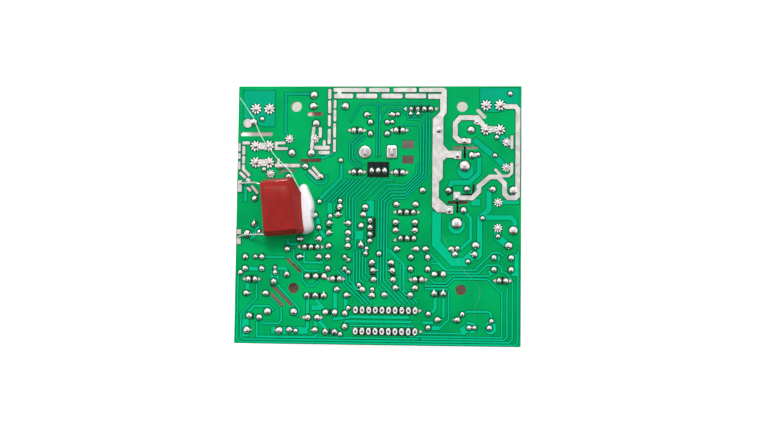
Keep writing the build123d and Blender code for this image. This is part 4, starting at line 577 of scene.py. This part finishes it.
def build_lead(peak, lean, half_width, top, rng, leads):
    """The end of a lead, clinched over where the joint leans and otherwise standing upright."""
    if lean.length > 0.05 * MM:
        way = lean.to_3d().normalized()
        start = peak - way * 0.15 * MM - Vector((0, 0, 0.30 * MM))
        end = peak + way * half_width * rng.uniform(0.8, 1.3) - Vector((0, 0, top * 0.62))
        leads.tube(start, end, CLINCHED_LEAD)
    else:
        leads.tube(peak - Vector((0, 0, 0.4 * MM)), peak + Vector((0, 0, 0.12 * MM)), STANDING_LEAD)


def build_lug_joint(points, domes, halos, shade_spots):
    """A flat joint with the end of a lug standing in it, a painted dark ring of shade round it and a dark
    bead of painted shade in front of the lug. A four-sided foot stays nearly square.
    """
    foot, lug = ends_of(points)
    low, high = level_range(points)
    centre = middle_of(foot)
    half_x, half_y = half_widths(foot, centre)
    lug_x, lug_y = half_widths(lug, centre)
    power = 0.25 if len(foot) == 4 else 1.0

    def outline(share, level, sides=32):
        ring = []
        for step in range(sides):
            angle = 2 * math.pi * step / sides
            cosine, sine = math.cos(angle), math.sin(angle)
            x = centre.x + math.copysign(abs(cosine) ** power, cosine) * half_x * share
            y = centre.y + math.copysign(abs(sine) ** power, sine) * half_y * share
            ring.append(Vector((x, y, level)))
        return ring

    domes.rings([outline(1.0, FOOT_LEVEL), outline(0.97, low + 0.16 * MM),
                 outline(0.88, low + 0.26 * MM), outline(0.5, low + 0.30 * MM)])
    halos.rings([outline(1.12, HALO_LOW), outline(0.97, HALO_HIGH)], close_top=False)
    # A dark bead of painted shade in front of the lug.
    below = Vector((centre.x + lug_x * 0.2, centre.y - lug_y * 0.5))
    shade_spots.rings(bead(below, Vector((0, 1)), lug_y * 1.3, lug_x * 1.6, 0.34 * MM, low))
    steps = [(1.15, low + 0.2 * MM), (1.0, low + 0.5 * MM), (0.9, high - 0.1 * MM), (0.6, high)]
    domes.rings([oval(centre, lug_x * share, lug_y * share, level, 14) for share, level in steps])


def build_stars(looks):
    """Joints with a ring of beads round a dish and a painted dark ring of shade round them. A broad one has
    a terminal's foot standing in it, with a dark bead of painted shade in front of it.
    """
    rng = random.Random(11)
    beads, dishes, posts, halos, shade_spots = Builder(), Builder(), Builder(), Builder(), Builder()
    for points in islands("star_joints"):
        centre, half_x, half_y, height, _ = joint_shape(points)
        reach = (half_x + half_y) / 2
        broad = reach > BROAD_STAR
        turn = rng.uniform(0, 1)
        for number in range(BEADS):
            angle = 2 * math.pi * (number + turn) / BEADS
            way = Vector((math.cos(angle), math.sin(angle)))
            size = rng.uniform(0.85, 1.1)
            middle = centre.to_2d() + way * reach * BEAD_PLACE
            length, width = reach * BEAD_LENGTH * size, reach * BEAD_WIDTH * size
            beads.rings(bead(middle, way, length, width, BEAD_HEIGHT, FOOT_LEVEL))
        dish = BROAD_DISH if broad else NARROW_DISH
        dishes.rings(standing_rings(centre, reach, reach, FOOT_LEVEL, height, dish, 24))
        halos.rings([oval(centre, reach * share, reach * share, level, 40)
                     for share, level in ((STAR_HALO_OUTER, HALO_LOW), (STAR_HALO_INNER, HALO_HIGH))],
                    close_top=False)
        # Where a dark bead of painted shade goes in front of a terminal's foot.
        lower = Vector((centre.x + rng.uniform(-0.05, 0.2) * reach, centre.y - reach * 0.20))
        if broad:
            tip = Vector((centre.x, centre.y, FOOT_LEVEL + height))
            posts.tube(centre + Vector((0, 0, height * 0.3)), tip, TERMINAL_FOOT, 10)
            length, width = reach * 0.36, reach * 0.30
            shade_spots.rings(bead(lower, Vector((1, 0)), length, width, height * 0.66, FOOT_LEVEL))
    bead_piece = add_mesh("terminal_joints", beads, looks["star_joints"])
    add_mesh("terminal_dishes", dishes, dish_tin())
    add_mesh("terminal_feet", posts, solder_tin("foot_tin", 8e-6))
    add_mesh("terminal_halos", halos, mask_shadow())
    add_mesh("terminal_shade_spots", shade_spots, painted_joint_shade())
    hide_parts("star_joints")


def build_points(looks):
    """Low domes of solder on the test points, each with a painted dark ring of shade."""
    domes, halos = Builder(), Builder()
    for points in islands("test_points"):
        centre, half_x, half_y, height, _ = joint_shape(points, SIX_SIDED)
        domes.rings(standing_rings(centre, half_x, half_y, FOOT_LEVEL, height, FILLET, 16))
        halos.rings(halo(centre, half_x, half_y, POINT_HALO, 16), close_top=False)
    piece = add_mesh("test_domes", domes, looks["test_points"])
    add_mesh("test_halos", halos, mask_shadow())
    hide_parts("test_points")


# ------------------------------------------------------------ tracks
RIM_WIDTH = 0.30 * MM
RIM_HEIGHT = 0.07 * MM
COAT_LIFT = 0.01 * MM

# One plus the cosine of a corner's turn: a sharper corner is held back.
SHARPEST = 0.6


def top_faces(node):
    """A working copy of only the upper faces of a flat node."""
    work = joined_copy(node)
    lower = [face for face in work.faces if face.normal.z < 0.9]
    bmesh.ops.delete(work, geom=lower, context="FACES")
    return work


def outline_loops(work):
    """Closed outlines of the faces, each with the copper on its left."""
    following = {}
    for edge in work.edges:
        if len(edge.link_faces) == 1:
            loop = edge.link_loops[0]
            following.setdefault(loop.vert.index, []).append(loop.link_loop_next.vert.index)
    places = {vert.index: vert.co.copy() for vert in work.verts}
    loops = []
    while following:
        start = next(iter(following))
        current, chain = start, []
        while current in following:
            chain.append(places[current])
            targets = following[current]
            step = targets.pop()
            if not targets:
                del following[current]
            current = step
            if current == start:
                break
        if len(chain) > 2:
            loops.append(chain)
    return loops


def held_in(point):
    """The point, moved back to the edge of the board where it lies beyond it."""
    x = min(max(point.x, BOARD_LOW[0]), BOARD_HIGH[0])
    y = min(max(point.y, BOARD_LOW[1]), BOARD_HIGH[1])
    return Vector((x, y, point.z))


def offset_loop(chain, distance):
    """The outline moved outwards, with its sharp corners held back. A repeated point gives None."""
    count = len(chain)
    moved = []
    for index, point in enumerate(chain):
        before = (point - chain[index - 1]).to_2d()
        after = (chain[(index + 1) % count] - point).to_2d()
        if before.length < SAME_PLACE or after.length < SAME_PLACE:
            moved.append(None)
            continue
        before.normalize()
        after.normalize()
        out_before = Vector((before.y, -before.x))
        out_after = Vector((after.y, -after.x))
        scale = distance / max(SHARPEST, 1 + out_before.dot(out_after))
        moved.append(held_in(point + (out_before + out_after).to_3d() * scale))
    return moved


def build_track_edges():
    """Painted shade along the step of the mask round the copper and round the tinned tracks."""
    strips = Builder()
    for node, inner_level, outer_level, width in (
            ("copper_tracks", COPPER_TOP - 0.01 * MM, BOARD_TOP + 0.01 * MM, 0.24 * MM),
            ("tinned_tracks", COPPER_TOP + 0.03 * MM, COPPER_TOP + 0.005 * MM, 0.30 * MM)):
        work = top_faces(node)
        for chain in outline_loops(work):
            moved = offset_loop(chain, width)
            pairs = [(inner, outer) for inner, outer in zip(chain, moved) if outer is not None]
            if len(pairs) < 3:
                continue
            strips.rings([[Vector((outer.x, outer.y, outer_level)) for _, outer in pairs],
                          [Vector((inner.x, inner.y, inner_level)) for inner, _ in pairs]], close_top=False)
        work.free()
    add_mesh("mask_step_shade", strips, mask_shadow(), smooth=False)


def build_tinning(looks):
    """Tinned tracks with a raised bright bead along their edges."""
    work = top_faces("tinned_tracks")
    bmesh.ops.dissolve_limit(work, angle_limit=0.01, verts=work.verts, edges=work.edges)
    for face in work.faces:
        face.material_index = 0
    inset = bmesh.ops.inset_region(work, faces=work.faces[:], thickness=RIM_WIDTH, depth=RIM_HEIGHT,
                                   use_even_offset=True)
    for face in inset["faces"]:
        face.material_index = 1
    mesh = bpy.data.meshes.new("solder_coat")
    work.to_mesh(mesh)
    work.free()
    mesh.materials.append(looks["tinned_tracks"])
    mesh.materials.append(tinned_rim())
    coat = bpy.data.objects.new("solder_coat", mesh)
    coat.location.z = COAT_LIFT
    bpy.context.scene.collection.objects.link(coat)
    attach(coat, "board")


# ------------------------------------------------------------ the component side
# Profiles along a lying body: places from its middle to its ends, and shares of its radius.
DOG_BONE = [(-1.0, 0.45), (-0.97, 0.82), (-0.88, 1.0), (-0.66, 1.0), (-0.54, 0.84),
            (0.54, 0.84), (0.66, 1.0), (0.88, 1.0), (0.97, 0.82), (1.0, 0.45)]
BARREL = [(-1.0, 0.80), (-0.93, 1.0), (0.93, 1.0), (1.0, 0.80)]

BAND_COLOURS = {"brown": (0.16, 0.06, 0.02), "black": (0.015, 0.015, 0.015), "red": (0.50, 0.03, 0.02),
                "orange": (0.75, 0.22, 0.03), "yellow": (0.78, 0.58, 0.06), "violet": (0.22, 0.06, 0.30),
                "pale": (0.62, 0.62, 0.62)}

# Bands: place along the body, share of its radius there, and the colours that may stand there.
# BAND_HALF and BAND_RISE are shares too, of the half length and of the radius.
RESISTOR_BANDS = [(-0.77, 1.0, ("brown", "red", "orange")), (-0.30, 0.84, ("black", "violet", "brown")),
                  (0.10, 0.84, ("orange", "red", "yellow")), (0.77, 1.0, ("yellow",))]
DIODE_BANDS = [(0.66, 1.0, ("pale",))]
BAND_HALF = 0.07
BAND_RISE = 0.03

# Shares of the faceted body's radius: within WIRE_SHARE a corner is a wire's, and the round body
# has ROUND_SHARE.
WIRE_SHARE = 0.4
ROUND_SHARE = 0.96
BODY_WIRE = 0.3 * MM

LIGHT_RIM = 0.9 * MM
LIGHT_RIM_SHARE = 1.12
LIGHT_WIRE = 0.25 * MM

# Degrees round the can, and shares of its height.
STRIPE_TURNS = range(150, 215, 8)
STRIPE_LOW, STRIPE_HIGH = 0.10, 0.80
STRIPE_RISE = 0.03 * MM


def axial_part(points):
    """Middle, direction, half length and radius of a lying body, with the reach and top of its wires."""
    centre = middle_of(points)
    spread = [(point - centre).to_2d() for point in points]
    lengthwise = sum(way.x * way.x - way.y * way.y for way in spread)
    turn = math.atan2(2 * sum(way.x * way.y for way in spread), lengthwise) / 2
    along = Vector((math.cos(turn), math.sin(turn)))
    across = Vector((-along.y, along.x))
    radius = max(abs(way.dot(across)) for way in spread)
    body = [way.dot(along) for way in spread if abs(way.dot(across)) > radius * WIRE_SHARE]
    shift = (max(body) + min(body)) / 2
    half_length = (max(body) - min(body)) / 2
    base, top = level_range(points)
    middle = Vector((centre.x + along.x * shift, centre.y + along.y * shift, base + radius))
    reach = max(abs(way.dot(along) - shift) for way in spread)
    return middle, along.to_3d(), half_length, radius * ROUND_SHARE, reach, top


def turned_rings(middle, along, half_length, radius, profile, sides=16):
    """Rings of a round body about a lying axis."""
    across = Vector((-along.y, along.x, 0))
    up = Vector((0, 0, 1))
    return [hoop(middle + along * half_length * place, across, up, radius * share, sides)
            for place, share in profile]


def build_axial(node, looks, profile, bands):
    """Round bodies with coloured bands and bent wires, instead of a node's plain ones."""
    rng = random.Random(node)
    bodies, wires = Builder(), Builder()
    rings = {colour: Builder() for _, _, colours in bands for colour in colours}
    for points in islands(node):
        middle, along, half_length, radius, reach, top = axial_part(points)
        bodies.rings(turned_rings(middle, along, half_length, radius, profile), close_base=True)
        for side in (-1, 1):
            out = along * side
            elbow = middle + out * (reach - BODY_WIRE)
            wires.tube(middle + out * half_length * 0.9, elbow + out * BODY_WIRE, BODY_WIRE)
            wires.tube(elbow - Vector((0, 0, BODY_WIRE)), Vector((elbow.x, elbow.y, top)), BODY_WIRE)
        for place, share, colours in bands:
            start, end = place - BAND_HALF, place + BAND_HALF
            stripe = [(start, share), (start, share + BAND_RISE), (end, share + BAND_RISE), (end, share)]
            skin = turned_rings(middle, along, half_length, radius, stripe)
            rings[rng.choice(colours)].rings(skin, close_top=False)
    piece = add_mesh(node + "_bodies", bodies, looks[node])
    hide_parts(node)
    add_mesh(node + "_wires", wires, looks["jumper_wires"])
    for colour, builder in rings.items():
        tone = BAND_COLOURS[colour]
        material = uneven(f"{node}_{colour}", tuple(0.8 * part for part in tone), tone, 0.4, 900, 4e-6)
        add_mesh(f"{node}_{colour}_bands", builder, material)


def build_lenses(looks):
    """Lights with a rim, a round barrel and a domed tip, and their two wires."""
    lenses, wires = Builder(), Builder()
    for points in islands("leds"):
        x = (min(point.x for point in points) + max(point.x for point in points)) / 2
        y = (min(point.y for point in points) + max(point.y for point in points)) / 2
        hub = Vector((x, y, 0))
        radius = max((point - hub).to_2d().length for point in points)
        barrel = [point for point in points if (point - hub).to_2d().length > radius * 0.95]
        shoulder, base = level_range(barrel)
        tip, _ = level_range(points)
        profile = [(LIGHT_RIM_SHARE, base), (LIGHT_RIM_SHARE, base - LIGHT_RIM),
                   (1.0, base - LIGHT_RIM * 1.1), (1.0, shoulder)]
        for turn in range(15, 90, 15):
            cosine, sine = math.cos(math.radians(turn)), math.sin(math.radians(turn))
            profile.append((cosine, shoulder - (shoulder - tip) * sine))
        profile.append((0.05, tip))
        lenses.rings([oval(hub, radius * share, radius * share, level, 24)
                      for share, level in reversed(profile)], close_base=True)
        for side in (-1, 1):
            wire = [point for point in points if point.z > base + 0.1 * MM and (point.x - x) * side > 0]
            foot = middle_of(wire)
            _, top = level_range(wire)
            start = Vector((foot.x, foot.y, base - LIGHT_RIM))
            wires.tube(start, Vector((foot.x, foot.y, top)), LIGHT_WIRE)
    piece = add_mesh("led_lenses", lenses, looks["leds"])
    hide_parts("leds")
    add_mesh("led_wires", wires, looks["jumper_wires"])


def build_can_stripes():
    """The pale stripe down the sleeve of every electrolytic capacitor."""
    stripes = Builder()
    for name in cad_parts:
        if not name.startswith("electrolytic_capacitor"):
            continue
        can = max(islands(name), key=len)
        centre = middle_of(can)
        radius = max((point - centre).to_2d().length for point in can)
        low, high = level_range(can)
        inner, outer = radius * 0.95, radius + STRIPE_RISE
        slices = []
        for turn in STRIPE_TURNS:
            angle = math.radians(turn)
            out = Vector((math.cos(angle), math.sin(angle), 0))
            slices.append([Vector((centre.x, centre.y, low + (high - low) * share)) + out * reach
                           for reach, share in ((inner, STRIPE_LOW), (outer, STRIPE_LOW),
                                                (outer, STRIPE_HIGH), (inner, STRIPE_HIGH))])
        stripes.rings(slices, close_base=True)
    tone = uneven("can_stripe", (0.36, 0.42, 0.48), (0.46, 0.52, 0.58), 0.35, 500, 6e-6, coat=0.4)
    add_mesh("can_stripes", stripes, tone, smooth=False)


# ------------------------------------------------------------ the added capacitor
# The raised panel on the capacitor: shares of the upper face's width, and depths below that face.
PANEL_RISE = 0.20 * MM
PANEL = [(1.0, PANEL_RISE), (0.80, PANEL_RISE), (0.74, 0.0)]
SOFT_EDGE = 0.8 * MM

# Profile of the silicone: shares of its foot's width and of its height.
BLOB = [(0.97, 0.0), (1.0, 0.15), (1.0, 0.40), (0.96, 0.60), (0.84, 0.76), (0.60, 0.85), (0.30, 0.88)]

# The hair's places from the middle of the board, in millimetres.
HAIR_ROUTE = [(24.0, -5.6), (24.5, -7.4), (28.0, -13.0), (32.7, -20.5), (38.0, -26.0), (39.6, -30.0),
              (37.6, -35.6), (37.8, -40.4), (38.6, -43.0)]
HAIR_RADIUS = 0.04 * MM
HAIR_STEPS = 6


def levels_of(node):
    """The rings of corners of a faceted node, from the lowest to the highest."""
    rings = {}
    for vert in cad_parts[node].data.vertices:
        place = (round(vert.co.x, 5), round(vert.co.y, 5))
        rings.setdefault(round(vert.co.z, 6), {})[place] = vert.co.copy()
    ordered = []
    for level in sorted(rings):
        corners = list(rings[level].values())
        middle = middle_of(corners)
        corners.sort(key=lambda corner: math.atan2(corner.y - middle.y, corner.x - middle.x))
        ordered.append(corners)
    return ordered


def build_capacitor(looks):
    """The dipped body with soft edges and a faint raised panel on its upper face."""
    rings = levels_of("film_capacitor")
    crown = rings.pop()
    middle = middle_of(crown)
    for share, drop in PANEL:
        inner = [middle + (corner - middle) * share for corner in crown]
        rings.append([Vector((point.x, point.y, corner.z - drop)) for point, corner in zip(inner, crown)])
    body = Builder()
    body.rings(rings, close_base=True)
    piece = add_mesh("capacitor_body", body, looks["film_capacitor"])
    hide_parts("film_capacitor")
    edges = piece.modifiers.new("edges", "BEVEL")
    edges.width = SOFT_EDGE
    edges.segments = 5
    edges.limit_method = "ANGLE"
    edges.angle_limit = math.radians(25)


def build_hair():
    """A fine hair of glue across the front right of the board, curving smoothly through its route."""
    level = COPPER_TOP + HAIR_RADIUS * 0.8
    stops = [Vector((CENTRE.x + x * MM, CENTRE.y + y * MM, level)) for x, y in HAIR_ROUTE]
    line = []
    for before, start, end, after in zip(stops, stops[1:], stops[2:], stops[3:]):
        for step in range(HAIR_STEPS):
            part = step / HAIR_STEPS
            bend = (2 * before - 5 * start + 4 * end - after) * part ** 2
            twist = (3 * start - before - 3 * end + after) * part ** 3
            line.append(0.5 * (2 * start + (end - before) * part + bend + twist))
    hair = Builder()
    rings = []
    for here, following in zip(line, line[1:]):
        along = (following - here).normalized()
        across = Vector((-along.y, along.x, 0)) * HAIR_RADIUS
        up = Vector((0, 0, HAIR_RADIUS))
        rings.append([here + across, here + up, here - across, here - up])
    hair.rings(rings)
    material = uneven("glue_hair", (0.06, 0.55, 0.30), (0.24, 0.76, 0.50), 0.3, 300, 1e-6)
    add_mesh("glue_hair", hair, material)


def build_silicone(looks):
    """The blob of silicone, rounded over its top."""
    points = [vert.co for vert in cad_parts["silicone_adhesive"].data.vertices]
    low, high = level_range(points)
    foot, _ = ends_of(points)
    corners = {(round(point.x, 6), round(point.y, 6)) for point in foot}
    middle = sum((Vector(corner) for corner in corners), Vector((0, 0))) / len(corners)
    around = [Vector(corner) - middle for corner in corners]
    around.sort(key=lambda way: math.atan2(way.y, way.x))
    rings = []
    for share, rise in BLOB:
        level = low + (high - low) * rise
        rings.append([(middle + way * share).to_3d() + Vector((0, 0, level)) for way in around])
    blob = Builder()
    blob.rings(rings)
    piece = add_mesh("silicone_blob", blob, looks["silicone_adhesive"])
    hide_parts("silicone_adhesive")
    smooth = piece.modifiers.new("smooth", "SUBSURF")
    smooth.levels = 2
    smooth.render_levels = 2


def round_off(node, levels=2):
    """Turns a faceted wire round."""
    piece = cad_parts[node]
    weld = piece.modifiers.new("weld", "WELD")
    weld.merge_threshold = 0.001 * MM
    rounder = piece.modifiers.new("round", "SUBSURF")
    rounder.levels = levels
    rounder.render_levels = levels


# ------------------------------------------------------------ the set
LOW_FRONT = (0.05, 0.03, 0.035)
OVERHEAD = (0.46, 0.435, 0.43)
WHITE = (1.0, 1.0, 1.0)

# Where the direction's Y leaves the dark front for white, and its Z leaves white for overhead.
FRONT_EDGE = (-0.68, -0.16)
OVERHEAD_EDGE = (0.88, 0.97)

# The camera leans, so what it sees through the holes lies a little to the left and rear of them.
# The painted shade on the floor is shifted that way.
SHADE_SHIFT = 2.5 * MM
SHADE_INSET = 4.5 * MM
SHADE_EDGE = 6 * MM
FLOOR_GLOW = 0.7
FLOOR_REACH = 3.0

EYE_DISTANCE = 0.5
EYE_LEAN = (4.1, 4.4, 0.7)
EYE_TARGET = Vector((CENTRE.x + 0.9 * MM, CENTRE.y + 0.3 * MM, BOARD_TOP))
FOCAL_LENGTH = 61.5
SENSOR_WIDTH = 36


def world_light():
    """Even light, dark low in the front and duller straight above. The camera sees white instead."""
    world = bpy.data.worlds.new("world")
    bpy.context.scene.world = world
    world.use_nodes = True
    nodes, links = world.node_tree.nodes, world.node_tree.links
    nodes.clear()
    way = axes(nodes, links, nodes.new("ShaderNodeTexCoord").outputs["Generated"])
    around = blend(nodes, links, ranged(nodes, links, way["Y"], *FRONT_EDGE), LOW_FRONT, WHITE)
    upward = ranged(nodes, links, way["Z"], *OVERHEAD_EDGE)
    light = nodes.new("ShaderNodeBackground")
    links.new(blend(nodes, links, upward, around, OVERHEAD), light.inputs["Color"])
    white = nodes.new("ShaderNodeBackground")
    white.inputs["Color"].default_value = (*WHITE, 1.0)
    mix = nodes.new("ShaderNodeMixShader")
    output = nodes.new("ShaderNodeOutputWorld")
    links.new(nodes.new("ShaderNodeLightPath").outputs["Is Camera Ray"], mix.inputs["Fac"])
    links.new(light.outputs["Background"], mix.inputs[1])
    links.new(white.outputs["Background"], mix.inputs[2])
    links.new(mix.outputs["Shader"], output.inputs["Surface"])


def softbox(name, place, size, power):
    """A square lamp that faces the board, placed from the middle of the board in metres."""
    lamp = bpy.data.lights.new(name, "AREA")
    lamp.size = size
    lamp.energy = power
    holder = bpy.data.objects.new(name, lamp)
    holder.location = CENTRE + Vector(place)
    holder.rotation_euler = (CENTRE - holder.location).to_track_quat("-Z", "Y").to_euler()
    bpy.context.scene.collection.objects.link(holder)


def beyond(nodes, links, coordinate, middle, inner):
    """Runs from 0 within the inner distance from the middle to 1 a soft edge further out."""
    distance = sums(nodes, links, "ABSOLUTE", sums(nodes, links, "SUBTRACT", coordinate, middle))
    return ranged(nodes, links, distance, inner, inner + SHADE_EDGE)


def seen_glow(nodes, links, strength):
    """A glow that only the camera, reflections and clear pieces see."""
    path = nodes.new("ShaderNodeLightPath").outputs
    mirrored = sums(nodes, links, "MAXIMUM", path["Is Glossy Ray"], path["Is Transmission Ray"])
    seen = sums(nodes, links, "MAXIMUM", path["Is Camera Ray"], mirrored)
    return sums(nodes, links, "MULTIPLY", seen, strength)


def floor_paint():
    """A white floor with painted shade where the board shades it: warm at the front, a duller grey-green
    towards the rear, and no glow there.
    """
    material, nodes, links, principled = shader("floor", (0.95, 0.95, 0.95), 0.9)
    place = place_axes(nodes, links)
    half = (Vector(BOARD_HIGH) - Vector(BOARD_LOW)) / 2
    sides = beyond(nodes, links, place["X"], CENTRE.x - SHADE_SHIFT, half.x - SHADE_INSET)
    ends = beyond(nodes, links, place["Y"], CENTRE.y + SHADE_SHIFT, half.y - SHADE_INSET)
    outside = sums(nodes, links, "MAXIMUM", sides, ends)
    # Painted shade below the board, warm at the front and grey-green at the rear.
    rear = ranged(nodes, links, place["Y"], CENTRE.y, CENTRE.y + half.y * 0.7)
    painted_shade = blend(nodes, links, rear, (0.98, 0.76, 0.70), (0.69, 0.73, 0.69))
    pale = blend(nodes, links, noise(nodes, links, 3), (0.93, 0.93, 0.93), (0.96, 0.96, 0.96))
    links.new(blend(nodes, links, outside, painted_shade, pale), principled.inputs["Base Color"])
    principled.inputs["Emission Color"].default_value = (*WHITE, 1.0)
    glow = sums(nodes, links, "MULTIPLY", outside, seen_glow(nodes, links, FLOOR_GLOW))
    links.new(glow, principled.inputs["Emission Strength"])
    return material


def floor():
    """A pale floor at the level on which the object stands, with painted shade below the board."""
    mesh = bpy.data.meshes.new("floor")
    corners = [(-FLOOR_REACH, -FLOOR_REACH, 0), (FLOOR_REACH, -FLOOR_REACH, 0),
               (FLOOR_REACH, FLOOR_REACH, 0), (-FLOOR_REACH, FLOOR_REACH, 0)]
    mesh.from_pydata(corners, [], [(0, 1, 2, 3)])
    mesh.materials.append(floor_paint())
    ground = bpy.data.objects.new("floor", mesh)
    bpy.context.scene.collection.objects.link(ground)


def camera():
    """A camera almost straight above, as near as someone who holds the board up to look at it."""
    data = bpy.data.cameras.new("camera")
    data.lens = FOCAL_LENGTH
    data.sensor_width = SENSOR_WIDTH
    turn = Euler([math.radians(angle) for angle in EYE_LEAN], "XYZ")
    eye = bpy.data.objects.new("camera", data)
    eye.rotation_euler = turn
    eye.location = EYE_TARGET + turn.to_matrix() @ Vector((0, 0, EYE_DISTANCE))
    bpy.context.scene.collection.objects.link(eye)
    bpy.context.scene.camera = eye


def main():
    """Paints the nodes, adds the finer pieces, and sets up the light, the floor and the camera."""
    looks = paint_nodes()
    build_joints(looks)
    build_stars(looks)
    build_points(looks)
    build_track_edges()
    build_tinning(looks)
    build_axial("resistors", looks, DOG_BONE, RESISTOR_BANDS)
    build_axial("diodes", looks, BARREL, DIODE_BANDS)
    build_axial("power_resistors", looks, BARREL, [])
    build_can_stripes()
    build_lenses(looks)
    build_capacitor(looks)
    build_hair()
    build_silicone(looks)
    round_off("glue_strand")
    round_off("film_capacitor_leads", 1)
    world_light()
    softbox("key", place=(-0.05, 0.45, 0.55), size=0.2, power=2.5)
    floor()
    camera()


main()
bpy.context.scene.view_settings.view_transform = "Standard"
